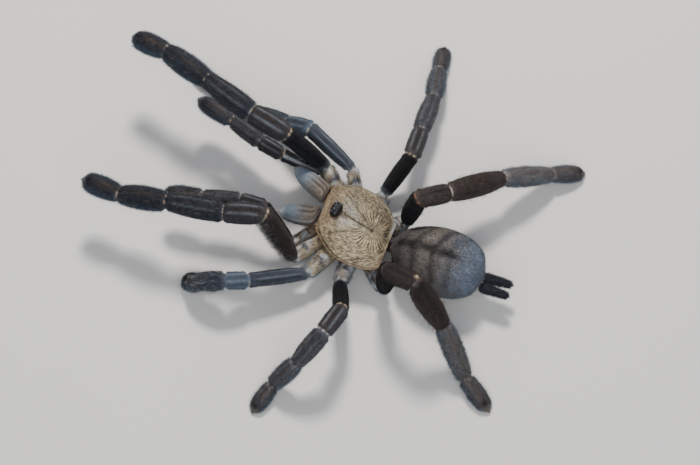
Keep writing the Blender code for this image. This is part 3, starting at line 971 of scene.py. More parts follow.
    def fringe(self, tint: np.ndarray) -> Pelt | None:
        """The long hairs that only some legs carry."""
        if self.limb.name == "leg_1_left":
            under = self.femur * ease(50, 85, -self.turn) * ease(0.0, 0.12, self.share)
            return Pelt(under * 9.0, 3.0, 55.0, blend(tint, blend(FAWN, SILVER, 0.5), 0.75), 20.0)
        if self.limb.name == "leg_2_left":
            shin = (self.tibia + self.metatarsus) * (0.3 + 0.7 * ease(60, 110, self.off))
            return Pelt(shin * 2.5, 2.2, 50.0, blend(tint, blend(FAWN, SILVER, 0.6), 0.7), 25.0)
        if self.limb.order == 4:
            return Pelt((self.tibia + self.femur) * 0.2, 2.6, 45.0, blend(tint, RUST, 0.25), 25.0)
        if self.limb.order == 1:
            return Pelt(self.femur * ease(100, 130, self.off), 2.4, 42.0, blend(tint, SILVER, 0.5), 22.0)
        return None


# --- trunk, jaws and hind body --------------------------------------------------------


@dataclass
class Drawn:
    """Skin drawn in from one solid along a straight axis, closed and round at both ends."""

    solid: Solid
    way: np.ndarray
    side: np.ndarray
    depth: float                # of the coat, mm
    rows: int
    columns: int
    blunt: tuple = (1.0, 1.0)   # mm over which each end rounds off
    square: float = 2.0
    cuts: int = 17

    def grid(self) -> tuple[np.ndarray, np.ndarray]:
        """Measure the solid and carry its outline along the axis.

        Returns:
            (points, share along the axis of each row as a column).
        """
        up = np.cross(self.way, self.side)
        along = self.solid.points @ self.way
        low, high = along.min(), along.max()
        middle = self.solid.points.mean(axis=0)
        stations = np.linspace(low + 0.02 * (high - low), high - 0.02 * (high - low), self.cuts)
        centres, halves = [], []
        for station in stations:
            point = middle + self.way * (station - middle @ self.way)
            centre, half = self.solid.outline(point, self.way, self.side, up)
            centres.append(centre)
            halves.append(half)
        turn = np.linspace(0.02, 0.98, self.rows) * TAU / 2
        first, last = low + self.depth, high - self.depth
        place = first + (last - first) * (1 - np.cos(turn)) / 2
        centre = between(place, stations, np.array(centres))
        centre += np.outer(place - centre @ self.way, self.way)
        half = between(place, stations, np.array(halves)) - self.depth
        half, centre = evened(half, 4), evened(centre, 4)
        for gap, blunt in ((place - first, self.blunt[0]), (last - place, self.blunt[1])):
            t = np.clip(gap / blunt, 0, 1)
            half *= np.sqrt(1 - (1 - t) ** 2 * 0.999)[:, None]
        points = ring_grid(centre, self.side, up, np.maximum(half, 0.04), self.columns, self.square)
        return points, ((place - first) / (last - first))[:, None]


@dataclass
class Jaws:
    """The two jaws: grey-tan at the base with three dark stripes, pale blue-grey toward the fangs."""

    frame: dict
    depth: float = 0.10
    rows: int = 64
    columns: int = 40
    blunt: tuple = (0.8, 2.0)
    square: float = 2.4
    stripe_turns: tuple = (-30.0, 0.0, 28.0)
    stripe_width: float = 2.5   # degrees
    # painted shade: the whole left jaw darkened
    left_shade: float = 0.68    # the left jaw is the darker one

    def surfaces(self) -> list[Surface]:
        """Skin of both jaws."""
        made = []
        for hand in HANDS:
            solid = Solid(self.frame["nodes"][f"chelicera_{hand}"])
            ends = sorted(solid.ends(), key=lambda e: -e[0][1])
            way = unit((ends[1][0] - ends[0][0]) * (1.0, 1.0, 0.4))
            side = unit(np.array([-way[1], way[0], 0.0]))
            drawn = Drawn(solid, way, side, self.depth, self.rows, self.columns, self.blunt, self.square)
            made.append(self.dress(hand, *drawn.grid()))
        return made

    def dress(self, hand: str, points: np.ndarray, share: np.ndarray) -> Surface:
        """Markings, painted shade and hair of one jaw.

        Args:
            hand: left or right.
            points: its skin.
            share: 0 at the base to 1 at the fang, per row.

        Returns:
            The surface.
        """
        turn = turns(points)
        off = np.abs(turn)
        cloud, fine = spots(points, 3.0 if hand == "left" else 9.0)
        inward = -turn if hand == "left" else turn
        stripes = sum(blot(turn + 5 * (fine - 0.5), t, self.stripe_width) for t in self.stripe_turns)
        tint = painted(blend(blend(FAWN, TAN, 0.7), STEEL, 0.46),
                       (blend(SLATE, SILVER, 0.18), ease(0.20, 0.75, share)),
                       (UMBER * 0.6, np.clip(stripes * (1 - ease(0.35, 0.65, share)), 0, 0.85)))
        # painted shade over the left jaw and toward the underside of both; a pale line on the inner edge and
        # a pale top toward the fang
        tint = painted(tint * (self.left_shade if hand == "left" else 1.0),
                       (blend(SILVER, TAN, 0.4), blot(inward, 62, 9) * 0.6),
                       (CHARCOAL, ease(80, 120, off) * 0.75),
                       (SILVER, ease(0.8, 0.95, share) * blot(off, 0, 60) * 0.5))
        tint = tint * (0.75 + 0.25 * cloud + 0.25 * fine)[..., None]
        inner = ease(60, 100, inward)
        pelts = {
            Hair.NAP: Pelt(24.0, 0.42, 13.0),
            Hair.BRISTLE: Pelt(0.4 + 2.0 * ease(0.75, 0.95, share), 1.3, 28.0,
                               blend(tint, blend(FAWN, CREAM, 0.4), 0.6), 22.0),
            Hair.LONG: Pelt(1.6 * inner, 1.6, 35.0, blend(tint, RUST, 0.65), 25.0),
        }
        return Surface(f"jaw_{hand}", points, tint, pelts)


@dataclass
class Trunk:
    """The breast plate and the soft sides between it and the shield."""

    frame: dict
    depth: float = 0.35
    top_z: float = 11.2         # runs up inside the shield
    columns: int = 64
    square: float = 2.3
    # share of the height at each of a row of even steps, closest together at the underside
    levels: tuple = (0.0, 0.02, 0.06, 0.12, 0.2, 0.35, 0.5, 0.65, 0.8, 0.9, 1.0)
    rows: int = 26

    def surface(self) -> Surface:
        """Skin of the trunk: level rings from the plate's underside up into the shield."""
        solid = Solid(self.frame["nodes"]["sternum"])
        low, high = solid.points.min(axis=0), solid.points.max(axis=0)
        half = (high - low)[:2] / 2
        height = np.interp(np.linspace(0, 1, self.rows), np.linspace(0, 1, len(self.levels)), self.levels)
        grow = np.sqrt(1 - (1 - np.clip(height / 0.14, 0, 1)) ** 2) * 0.93 + 0.05
        wide = half[0] - self.depth + 1.5 * ease(0.35, 1.0, height)
        deep = half[1] - self.depth - 0.2 * ease(0.6, 1.0, height)
        middle = np.tile((low + high) / 2, (self.rows, 1))
        middle[:, 2] = low[2] + self.depth + (self.top_z - low[2] - self.depth) * height
        sizes = np.column_stack((wide * grow, deep * grow))
        points = ring_grid(middle, LEFTWARD, REARWARD, sizes, self.columns, self.square)
        cloud, fine = spots(points, 5.0)
        tint = blend(blend(FAWN, CREAM, 0.3), CHARCOAL, ease(0.4, 0.7, cloud) * 0.7)
        tint = blend(tint, blend(CHARCOAL, SOLE_BROWN, 0.5), (1 - ease(0.1, 0.25, height))[:, None] * 0.8)
        tint = tint * (0.8 + 0.3 * fine)[..., None]
        pelts = {Hair.VELVET: Pelt(14.0, 0.6, 25.0),
                 Hair.BRISTLE: Pelt(1.4, 1.2, 35.0, blend(tint, SILVER, 0.55), 30.0)}
        return Surface("trunk", points, tint, pelts, np.tile(REARWARD, points.shape[:2] + (1,)))


@dataclass
class HindBody:
    """The abdomen with its waist and its two long spinnerets."""

    frame: dict
    depth: float = 0.60
    # where each pair of bars leaves the middle line, and how dark it is
    bars: tuple = ((0.08, 0.50), (0.22, 0.95), (0.45, 0.90), (0.62, 0.65))
    bar_slopes: tuple = (0.24, 0.09)    # how far back a bar runs in a quarter round, right and left
    rows: int = 110
    columns: int = 110
    blunt: tuple = (2.6, 2.6)
    # a spinneret's radius at stations of its length, and the place, depth and width of its two rings
    articles: tuple = ((0.0, 1.05), (0.12, 1.22), (0.42, 1.22), (0.7, 1.08), (0.95, 0.80), (1.0, 0.5))
    article_rings: tuple = ((0.44, 0.16, 0.02), (0.72, 0.13, 0.018))
    article_root: float = 1.2           # mm it runs on into the abdomen

    def surfaces(self) -> list[Surface]:
        """Skin of the abdomen, the waist and the spinnerets."""
        solid = Solid(self.frame["nodes"]["abdomen"])
        ends = sorted(solid.ends(), key=lambda e: e[0][1])
        way = unit((ends[1][0] - ends[0][0]) * (1.0, 1.0, 0.0))
        side = np.array([-way[1], way[0], 0.0])
        drawn = Drawn(solid, way, side, self.depth, self.rows, self.columns, self.blunt)
        return [self.dress(*drawn.grid()), self.waist()] + [self.spinneret(hand) for hand in HANDS]

    def waist(self) -> Surface:
        """The narrow stalk that carries the abdomen."""
        rows = np.linspace(-2.6, 2.8, 14)
        centre = Solid(self.frame["nodes"]["pedicel"]).points.mean(axis=0) + np.outer(rows, (0.0, 1.0, 0.12))
        radius = 1.15 + 0.35 * (np.abs(rows) / 2.6) ** 2
        points = ring_grid(centre, -LEFTWARD, np.cross(REARWARD, -LEFTWARD), radius, 24)
        tint = blend(CHARCOAL, FAWN, 0.4 * spots(points, 7.0)[0])
        return Surface("waist", points, tint, {Hair.VELVET: Pelt(14.0, 0.6, 25.0)})

    def dress(self, points: np.ndarray, share: np.ndarray) -> Surface:
        """Markings, painted shade and hair of the abdomen.

        Args:
            points: its skin.
            share: 0 in front to 1 behind, per row.

        Returns:
            The surface.
        """
        turn = turns(points)
        off = np.abs(turn)
        cloud, fine = spots(points, 1.0)
        wave = (mottle(points + 20.0, 3.2) - 0.5) * 0.07 + (mottle(points + 40.0, 1.0) - 0.5) * 0.03
        ground = blend(blend(ABDOMEN_GREY, FAWN, 0.15), ABDOMEN_BLUE,
                       ease(0.42, 0.98, share + 0.16 * cloud - 0.08) * 0.80)
        ground = blend(ground, CHARCOAL, (1 - ease(0.02, 0.32, share)) * 0.55)
        stripe = blot(turn + 60 * wave, 0, 11.0 - 7.0 * share) * ease(0.03, 0.08, share)
        stripe = stripe * (1 - ease(0.66, 0.78, share))
        slope = np.where(turn < 0, *self.bar_slopes)
        width = 0.030 + 0.018 * blot(off, 30, 25)
        bars = np.zeros(cloud.shape)
        for at, dark in self.bars:
            run = at + slope * (off / 90.0) ** 1.2 + wave
            bars += blot(share, run, width) * ease(0, 8, off) * (1 - ease(55, 88, off)) * dark
        dark = np.clip(stripe * 1.1 + bars * 0.75, 0, 1) * (0.66 + 0.50 * cloud)
        tint = blend(ground, ABDOMEN_BLACK, np.clip(dark, 0, 0.9))
        # darker lower sides: black hairs at the lower rim, and painted shade beneath
        tint = blend(tint, ABDOMEN_BLACK, ease(92, 125, off) * 0.6)
        tint = tint * (0.74 + 0.28 * cloud + 0.28 * fine)[..., None]
        hem = ease(45, 85, off) + ease(0.7, 0.9, share) + (1 - ease(0.05, 0.25, share))
        pelts = {
            Hair.VELVET: Pelt(19.0, 0.80, 17 + 8 * hem),
            Hair.BRISTLE: Pelt(0.20 + 0.45 * hem, 1.5 + 0.5 * cloud, 30 + 8 * hem,
                               blend(tint, blend(FAWN, SILVER, 0.2), 0.5), 28.0),
        }
        return Surface("abdomen", points, tint, pelts)

    def spinneret(self, hand: str) -> Surface:
        """One long spinneret of three articles, with its hair."""
        solid = Solid(self.frame["nodes"][f"spinneret_{hand}"])
        ends = sorted(solid.ends(), key=lambda e: e[0][1])
        way = unit(ends[1][0] - ends[0][0])
        side = unit(np.array([-way[1], way[0], 0.0]))
        share = np.linspace(0.0, 1.0, 54)
        length = np.ptp(solid.points @ way)
        root = ends[0][0] - way * self.article_root
        centre = root + np.outer(share * (length + 0.6), way)
        size = np.interp(share, *np.array(self.articles).T)
        for at, depth, width in self.article_rings:
            size = size - depth * blot(share, at, width)
        size = size * np.sqrt(1 - np.clip((share - 0.93) / 0.07, 0, 0.999) ** 2)
        points = ring_grid(centre, side, np.cross(way, side), size, 20)
        cloud, fine = spots(points, 11.0)
        tint = blend(blend(CHARCOAL, STEEL, 0.15), FAWN, 0.10 * cloud) * (0.8 + 0.3 * fine)[..., None]
        pelts = {Hair.VELVET: Pelt(30.0, 0.9, 30.0),
                 Hair.BRUSH: Pelt(22.0, 1.45, 34.0, blend(tint, STEEL, 0.5), 24.0),
                 Hair.BRISTLE: Pelt(0.6, 1.3, 36.0, blend(tint, FAWN, 0.4), 25.0)}
        return Surface(f"spinneret_{hand}", points, tint, pelts)


# --- shield, eyes, fangs and claws ----------------------------------------------------


@dataclass
class Shield:
    """The shield over the front body, as rings out from its middle pit and round under the rim."""

    low: np.ndarray             # corners of its solid, mm
    high: np.ndarray
    # stations of the share of its length: half width, and how far its middle leans to the left
    outline: tuple = ((0.0, 7.0), (0.06, 8.2), (0.15, 9.6), (0.31, 11.3), (0.47, 11.7), (0.63, 11.4),
                      (0.81, 10.3), (0.94, 8.6), (1.0, 6.7))
    lean: tuple = ((0.0, 0.0), (0.31, 0.35), (0.63, 0.35), (0.81, 0.6), (0.94, 1.2), (1.0, 1.4))
    ridge: tuple = ((0.0, 12.4), (0.08, 13.8), (0.26, 14.4), (0.5, 13.7), (0.75, 13.0), (0.9, 12.3),
                    (1.0, 10.9))
    length: float = 21.5        # on the middle line
    skew: float = 0.16          # its rings run this much further forward, per mm to the right
    pit_from_front: float = 15.9
    box_corner: tuple = (12.05, 6.9)    # from the pit to its box's left rear corner
    rim: float = 0.5
    inset: float = 0.15         # the surface lies this far inside the solid
    columns: int = 300
    rows: int = 118
    # each set of striae: count all round, from and to mm from the pit, width, share of gaps, seed
    spokes: tuple = ((32, 0.8, 6.4, 0.28, 0.08, 1.0), (64, 3.8, 7.6, 0.28, 0.36, 5.0),
                     (116, 5.8, 17.0, 0.30, 0.52, 9.0))
    grooves: tuple = ((31.0, 0.26, 0.95), (72.0, 0.16, 0.80), (108.0, 0.16, 0.80), (142.0, 0.15, 0.75))

    def __post_init__(self) -> None:
        """Place the middle line and smooth the outline."""
        self.pit = self.high[:2] - np.array(self.box_corner)
        self.front = self.pit[1] - self.pit_from_front

    def smooth(self, stations: tuple, share: np.ndarray) -> np.ndarray:
        """Values between stations, rounded by averaging the straight runs over a short window."""
        places, values = np.array(stations).T
        offsets = np.linspace(-0.06, 0.06, 9)
        return np.mean([np.interp(np.clip(share + o, 0, 1), places, values) for o in offsets], axis=0)

    def reach(self, angle: np.ndarray) -> np.ndarray:
        """Distance from the pit to the rim in every direction, 0 to the front and plus to the left.

        Points of the outline, slanted like the solid's rings, are read off by their direction.
        """
        share = np.linspace(0.0, 1.0, 200)
        wide = self.smooth(self.outline, share) - self.inset
        lean = self.smooth(self.lean, share)
        y = self.front + self.inset + (self.length - 2 * self.inset) * share - self.pit[1]
        across = np.linspace(1.0, -1.0, 40)[1:-1]
        x = np.concatenate((lean + wide, lean[-1] + across * wide[-1],
                            (lean - wide)[::-1], lean[0] - across * wide[0]))
        y = np.concatenate((y, np.full(len(across), y[-1]), y[::-1], np.full(len(across), y[0])))
        y = y + x * self.skew
        found = np.interp(angle, np.degrees(np.arctan2(x, -y)), np.hypot(x, y), period=360.0)
        for _ in range(6):
            found = (np.roll(found, 1) + 2 * found + np.roll(found, -1)) / 4
        return found

    def height(self, x: np.ndarray, y: np.ndarray) -> np.ndarray:
        """Height of the dome: rim + (ridge - rim) times (1 - (x / half width) to 2.2) to 0.75."""
        beside = x - self.pit[0]
        share = np.clip((y - beside * self.skew - self.front) / self.length, 0, 1)
        wide = self.smooth(self.outline, share)
        top = self.smooth(self.ridge, share) - self.inset
        foot = self.low[2] + self.rim
        out = np.clip(np.abs(beside - self.smooth(self.lean, share)) / wide, 0, 1)
        return foot + (top - foot) * (1 - out ** 2.2) ** 0.75

    def at(self, out: np.ndarray, radians: np.ndarray, z: np.ndarray | float) -> np.ndarray:
        """Points `out` mm from the pit in every direction, at height z."""
        x, y = self.pit[0] + out * np.sin(radians), self.pit[1] - out * np.cos(radians)
        return np.stack(np.broadcast_arrays(x, y, z), axis=-1)

    def striae(self, angle: np.ndarray, out: np.ndarray) -> np.ndarray:
        """Fine dark lines that run out from the pit, 0 to 1, in broken dashes.

        Args:
            angle: degrees from the front.
            out: mm from the pit.

        Returns:
            How dark each place is.
        """
        radians = np.radians(angle)
        # the count of lines grows in steps so that their spacing stays even
        total = np.zeros(out.shape)
        for count, low, high, width, gaps, seed in self.spokes:
            spoke = (radians / TAU + 0.5) * count
            spoke = spoke + (noise(spoke * 0.2, out * 0.4, seed + 30) - 0.5) * 1.1
            line = np.abs(spoke - np.round(spoke)) * 2
            broken = noise(np.round(spoke), out * (0.25 + 12 * gaps ** 2.5), seed)
            near = ease(low * 0.8, low * 1.15, out) * (1 - ease(high * 0.8, high * 1.15, out))
            thin = 1 - ease(width * 0.5, width * 1.4, line)
            total = np.maximum(total, thin * ease(gaps, gaps + 0.2, broken) * near)
        return total

    def surface(self) -> Surface:
        """The shield's surface with its relief, striae, colours and short hair."""
        angle = np.linspace(180.0, -180.0, self.columns + 1)[None]
        reach = self.reach(angle[0, :-1])
        reach = np.concatenate((reach, reach[:1]))[None]
        share = (np.linspace(0.012, 1.0, self.rows) ** 0.9)[:, None]
        radians = np.radians(angle)
        out = share * reach
        x, y, _ = np.moveaxis(self.at(out, radians, 0.0), -1, 0)
        z = self.height(x, y) + self.relief(x, y, angle, share, out)
        top = np.stack((x, y, z), axis=-1)
        # the rim turns down and in over a half circle, then runs in underneath
        rim_turn = np.linspace(0.15, 1.0, 6)[:, None] * TAU / 2
        radius = self.rim / 2
        floor_z = self.low[2] + 0.05
        edge = np.array([[np.sin(t), np.cos(t)] for t in rim_turn[:, 0]])
        push = 1 + (edge[:, :1] * radius * 0.6) / reach - 0.02 * (1 - edge[:, 1:])
        under = self.at(push * reach, radians, np.clip(z[-1:] - radius * (1 - edge[:, 1:]), floor_z, None))
        below = self.at(np.array((0.9, 0.6, 0.3))[:, None] * reach, radians, floor_z)
        points = np.concatenate((top, under, below))
        points[:, -1] = points[:, 0]
        # held inside the solid's box
        return self.dress(np.clip(points, self.low + 0.02, self.high - 0.02), angle, share, out)

    def relief(self, x: np.ndarray, y: np.ndarray, angle: np.ndarray, share: np.ndarray,
               out: np.ndarray) -> np.ndarray:
        """Height added to the dome: pit, grooves to the coxae, raised head and a bordered rim."""
        turn = np.abs(angle)
        total = -0.55 * np.exp(-(((x - self.pit[0]) / 1.0) ** 2 + ((y - self.pit[1]) / 0.38) ** 2))
        for at, depth, far in self.grooves:
            bend = at + 10 * (share - 0.4)
            width = np.degrees(0.42 / np.maximum(out, 0.6))
            run = ease(0.10, 0.24, share) * (1 - ease(far - 0.18, far, share))
            total = total - depth * blot(turn - bend, 0, np.clip(width, 2.5, 20)) * run
        head = 0.20 * blot(turn, 0, 24) * ease(0.30, 0.60, share) * (1 - ease(0.86, 0.97, share))
        border = -0.16 * blot(share, 0.925, 0.022) + 0.02 * blot(share, 0.97, 0.02)
        rough = (noise(x, y, 0.0, scale=1.3) - 0.5) * 0.10
        lines = -0.09 * self.striae(angle, out)
        return total + head + border + rough * ease(0.1, 0.3, share) * (1 - ease(0.85, 1.0, share)) + lines

    def dress(self, points: np.ndarray, angle: np.ndarray, share: np.ndarray, out: np.ndarray) -> Surface:
        """Colours, painted shade and hair of the shield.

        Args:
            points: its surface.
            angle: degrees of each column.
            share: 0 at the pit to 1 at the rim, for the rows of the top.
            out: mm from the pit, over the top.

        Returns:
            The surface.
        """
        extra = len(points) - len(share)
        share = np.concatenate((share, np.full((extra, 1), 1.05)))
        out = np.concatenate((out, np.repeat(out[-1:], extra, axis=0)))
        turn = np.abs(angle)
        cloud, fine = spots(points, 2.0)
        # fine radial grain: short dark and pale dashes between the striae
        round_mm = np.radians(angle) * np.maximum(out, 1.5)
        grain = noise(out * 2.4, round_mm * 4.2, 4.0)
        dots = noise(out * 3.0, round_mm * 4.6, 8.0)
        head = blot(turn, 0, 20) * ease(0.08, 0.20, share)
        edge = ease(0.84, 0.94, share)
        seams = (blot(angle, 33, 1.7) + blot(angle, -27, 1.7)) * ease(0.10, 0.25, share)
        seams = seams * (1 - ease(0.75, 0.92, share))
        lines = self.striae(angle, out) * (1 - 0.8 * head) * (1 - edge)
        lines = np.maximum(lines, seams * (0.4 + 0.6 * fine))
        sweep = sum(blot(turn, at + 12 * (share - 0.4), 5) for at, _, _ in self.grooves)
        browns = blot(angle, -93, 7) * blot(share, 0.55, 0.22)
        browns = browns + blot(angle, -120, 5) * blot(share, 0.55, 0.20)
        down = (blot(turn, 12, 6) + 0.4 * blot(turn, 24, 7)) * blot(share, 0.48, 0.18)
        pale = (1 - ease(0.0, 0.35, lines)) * blot(share, 0.38, 0.25) * (1 - head)
        beside = (points[..., 0] - self.pit[0]) + 0.25 * (fine - 0.5)
        middle_line = blot(beside, 0, 0.26) * (turn < 60) * (1 - ease(0.66, 0.74, share))
        middle = np.exp(-((beside / 0.9) ** 2 + ((points[..., 1] - self.pit[1]) / 0.45) ** 2))
        left = ease(12, 30, angle) * (1 - ease(140, 165, angle))
        tint = painted(
            blend(TAN, STEEL, 0.26),
            (PALE_TAN, ease(0.45, 0.75, grain) * 0.8),
            (UMBER, (1 - ease(0.20, 0.45, grain)) * ease(0.15, 0.35, share) * 0.55),
            # brown sweeps beside the grooves, and a dark patch at the right of the rear
            (UMBER, sweep * 0.30 * ease(0.12, 0.3, share) * (1 - ease(0.7, 0.9, share))),
            (blend(UMBER, RUST, 0.3), browns * 0.7),
            # pale down on both sides of the middle line, and a smooth warm head in front of it
            (blend(SILVER, CREAM, 0.25), down * (0.35 + 0.6 * grain)),
            (blend(TAN, RUST, 0.18), blot(turn, 0, 32) * ease(0.60, 0.75, share) * 0.7),
            (blend(PALE_TAN, CREAM, 0.3), pale * 0.6),
            # striae and seams, the middle line and the pit
            (UMBER * 0.6, lines * (0.95 - 0.45 * ease(4.0, 7.0, out))),
            (UMBER * 0.4, middle_line * 0.95),
            (UMBER * 0.35, middle * 0.9),
            # a dark line inside the rim, a rufous rim on the left and a pale one behind on the right
            (UMBER * 0.7, blot(share, 0.955, 0.016) * (0.2 + 0.75 * left)),
            (blend(RUST, TAN, 0.45), ease(0.97, 0.99, share) * (0.1 + 0.55 * left)),
            (SILVER, blot(angle, -138, 16) * ease(0.84, 0.94, share) * 0.8),
            # painted shade on the turned-under rim; then dark dots toward the rim
            (UMBER, (share > 1.0) * 0.6),
            (UMBER, (1 - ease(0.26, 0.42, dots)) * ease(0.30, 0.55, share) * (1 - edge) * 0.60))
        # painted shade: the rear darker, and across the shield the right side darker than the left
        rear_shade = 1 - 0.13 * ease(110, 165, turn)
        tint = tint * ((0.46 + 0.26 * cloud + 0.60 * fine) * rear_shade
                       * (0.91 + 0.21 * np.sin(np.radians(angle))))[..., None]
        on_top = (share <= 1.0) * (1 - 0.9 * middle) * (1 - 0.7 * middle_line)
        hem = ease(0.90, 0.99, share)
        pelts = {
            Hair.NAP: Pelt(on_top * (24 - 14 * lines), 0.40 + 0.06 * hem, 12 + 4 * hem, tint, 10.0),
            Hair.BRISTLE: Pelt(on_top * (0.10 + 0.2 * hem), 0.6 + 0.1 * hem, 26.0,
                               blend(tint, PALE_TAN, 0.6), 25.0),
        }
        return Surface("shield", points, tint, pelts)


@dataclass
class Eyes:
    """The eye mound and its eight eyes, in two rows on its top."""

    low: np.ndarray
    high: np.ndarray
    sink: float = 1.0           # how far the mound's foot lies in the shield
    crown: float = 0.22         # room left over the mound for the eyes
    foot: float = 0.25          # share of the rows that lie in the shield
    rows: int = 30
    columns: int = 48
    square: float = 2.3
    bulge: float = 2.6
    eye_rows: int = 18
    eye_columns: int = 28
    places: tuple = (           # across, ahead of the mound's middle, radius
        (0.50, 0.40, 0.42), (1.38, 0.78, 0.46), (1.52, -0.38, 0.42), (0.80, -0.52, 0.32))

    def __post_init__(self) -> None:
        """Find the mound's middle and how far it rises."""
        self.middle = (self.low + self.high) / 2
        self.rise = self.high[2] - self.low[2] - self.crown

    def dome(self, x: float, y: float) -> float:
        """Height over the foot: root of 1 - (x / half width)^bulge - (y / half length)^bulge."""
        half = (self.high - self.low) / 2
        inside = 1 - np.abs(x / half[0]) ** self.bulge - np.abs(y / half[1]) ** self.bulge
        return self.rise * np.sqrt(np.clip(inside, 0, 1))

    def mound(self) -> Surface:
        """The mound as rings from under the shield up to its flattened crown."""
        half = (self.high - self.low)[:2] / 2
        level = np.linspace(0.0, 1.0, self.rows)
        arch = (level - self.foot) / (1 - self.foot) * TAU / 4
        below = level < self.foot
        out = np.where(below, 1.0, np.abs(np.cos(arch)) ** 0.85)
        up = np.where(below, (level / self.foot - 1) * self.sink, np.sin(arch) * self.rise)
        centre = np.column_stack((np.tile(self.middle[:2], (self.rows, 1)), self.low[2] + up))
        sizes = np.maximum(np.outer(out, half), 0.02)
        points = ring_grid(centre, LEFTWARD, REARWARD, sizes, self.columns, self.square)
        tint = blend(VELVET_BLACK, UMBER, 0.35 * spots(points, 13.0)[1])
        level = level[:, None]
        ring = (level < 0.5) * (level > 0.2)
        pelts = {Hair.VELVET: Pelt((level > 0.22) * 5, 0.25, 30.0),
                 Hair.BRISTLE: Pelt(ring * 4.0, 0.9, 45.0, blend(tint, FAWN, 0.6), 30.0)}
        return Surface("eye_mound", points, tint, pelts)

    def balls(self) -> list[Surface]:
        """The eight eyes: spheres turned outward and set half into the mound."""
        level = np.linspace(0.03, 0.97, self.eye_rows) * TAU / 2
        # painted reflection: a blue-grey spot in the middle of each eye, as if its lens caught the light
        lens = ease(0.30, 0.80, -np.cos(level))[:, None] * np.ones((1, self.eye_columns + 1))
        tint = blend(VELVET_BLACK * 0.5, blend(STEEL, SLATE, 0.4), lens * 0.55)
        made = []
        for sign in (-1, 1):
            for across, ahead, radius in self.places:
                x, y = sign * across, -ahead
                height = self.low[2] + self.dome(x, y) - radius * 0.25
                centre = np.array((self.middle[0] + x, self.middle[1] + y, height))
                way = unit(np.array((x * 0.55, y * 0.75, 1.1)))
                side = unit(np.cross(way, (0.0, 1.0, 0.1)))
                rows = centre + np.outer(-np.cos(level) * radius, way)
                points = ring_grid(rows, side, np.cross(way, side), np.sin(level) * radius, self.eye_columns)
                made.append(Surface("eye", points, tint))
        return made


@dataclass
class Spike:
    """A curved tapering horn shape, such as a fang or a claw."""

    path: np.ndarray            # (rows, 3) mm
    radius: np.ndarray          # (rows,)
    columns: int = 20
    flatten: float = 0.85       # width over height

    def surface(self, side: np.ndarray, root: np.ndarray, tip: np.ndarray, share: np.ndarray) -> Surface:
        """Rings square to the path, off the floor, coloured from root to tip.

        Args:
            side: what the rings' side is turned toward.
            root: colour at the root.
            tip: colour at the tip.
            share: how far each ring is turned toward the tip's colour.

        Returns:
            The surface.
        """
        way = unit(np.gradient(self.path, axis=0))
        across = unit(side - way * np.sum(way * side, axis=1)[:, None])
        sizes = np.outer(self.radius, (self.flatten, 1.0))
        points = ring_grid(self.path, across, np.cross(way, across), sizes, self.columns)
        points[..., 2] = np.maximum(points[..., 2], FLOOR_GAP)
        return Surface("spike", points, blend(root, tip, share[:, None] * np.ones((1, self.columns + 1))))


FANG_ROOT = (0.0, 1.3, 3.6)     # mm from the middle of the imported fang's root, inside the jaw
FANG_KNEE = (0.0, -0.5, -1.0)
FANG_RADIUS = 0.86
CLAW_RADIUS = 0.15
# back or on along the limb, to the side and up, from its tip to a claw's start and to its end
CLAW_START = (-0.55, 0.24, 0.16)
CLAW_END = (0.62, 0.34, -0.30)
CLAW_BOW = 0.26


def fang(solid: Solid) -> Surface:
    """One fang, curved down out of the jaw to a sharp tip, red-brown toward the point.

    Its path is (1 - t) squared root + 2 t (1 - t) knee + t squared tip.

    Args:
        solid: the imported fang.

    Returns:
        Its surface.
    """
    y = solid.points[:, 1]
    start = solid.points[y < y.min() + 0.4].mean(axis=0)
    end = solid.points[y > y.max() - 0.3].mean(axis=0)
    share = np.linspace(0.0, 1.0, 40)
    root, knee = start + FANG_ROOT, start + FANG_KNEE
    path = np.outer((1 - share) ** 2, root) + np.outer(2 * share * (1 - share), knee)
    path = path + np.outer(share ** 2, end)
    radius = FANG_RADIUS * (1 - share) ** 0.75 * (1 - 0.12 * blot(share, 0.10, 0.03)) + 0.03
    radius = radius * np.sqrt(np.clip(1 - (1 - np.clip(share / 0.05, 0, 1)) ** 2 * 0.9, 0, 1))
    red = blend(RUST, VELVET_BLACK, 0.5)
    return Spike(path, radius).surface(LEFTWARD, VELVET_BLACK, red, ease(0.35, 1.0, share))


def claws(limb: Limb) -> list[Surface]:
    """The small hooked claws at the tip of a limb whose rings are read: two on a leg, one on a palp."""
    rings = limb.ring_frame
    tip = rings.centre[-1]
    way = unit(tip - rings.centre[-8])
    across, up = rings.across[-4], rings.up[-4]
    share = np.linspace(0.0, 1.0, 14)
    radius = CLAW_RADIUS * (1 - share) ** 0.7 + 0.012
    made = []
    for lean in ((0.0,) if limb.is_palp else (-1.0, 1.0)):
        start, end = (tip + way * on + across * lean * aside + up * high
                      for on, aside, high in (CLAW_START, CLAW_END))
        # straight from start to end, bowed up by the sine of the way along
        path = start + np.outer(share, end - start) + np.outer(np.sin(share * TAU / 2), up * CLAW_BOW)
        made.append(Spike(path, radius, 10).surface(across, blend(UMBER, VELVET_BLACK, 0.4), FAWN,
                                                    ease(0.5, 1.0, share) * 0.4))
    return made


# --- the coat -------------------------------------------------------------------------


@dataclass(frozen=True)
class HairShape:
    """How one kind of hair is made."""

    width: float                # mm at the root
    curved: bool                # two segments bent toward the lie, or one straight
    root_shade: float
    tip_shade: float
    vary: float = 0.25          # random part of the length


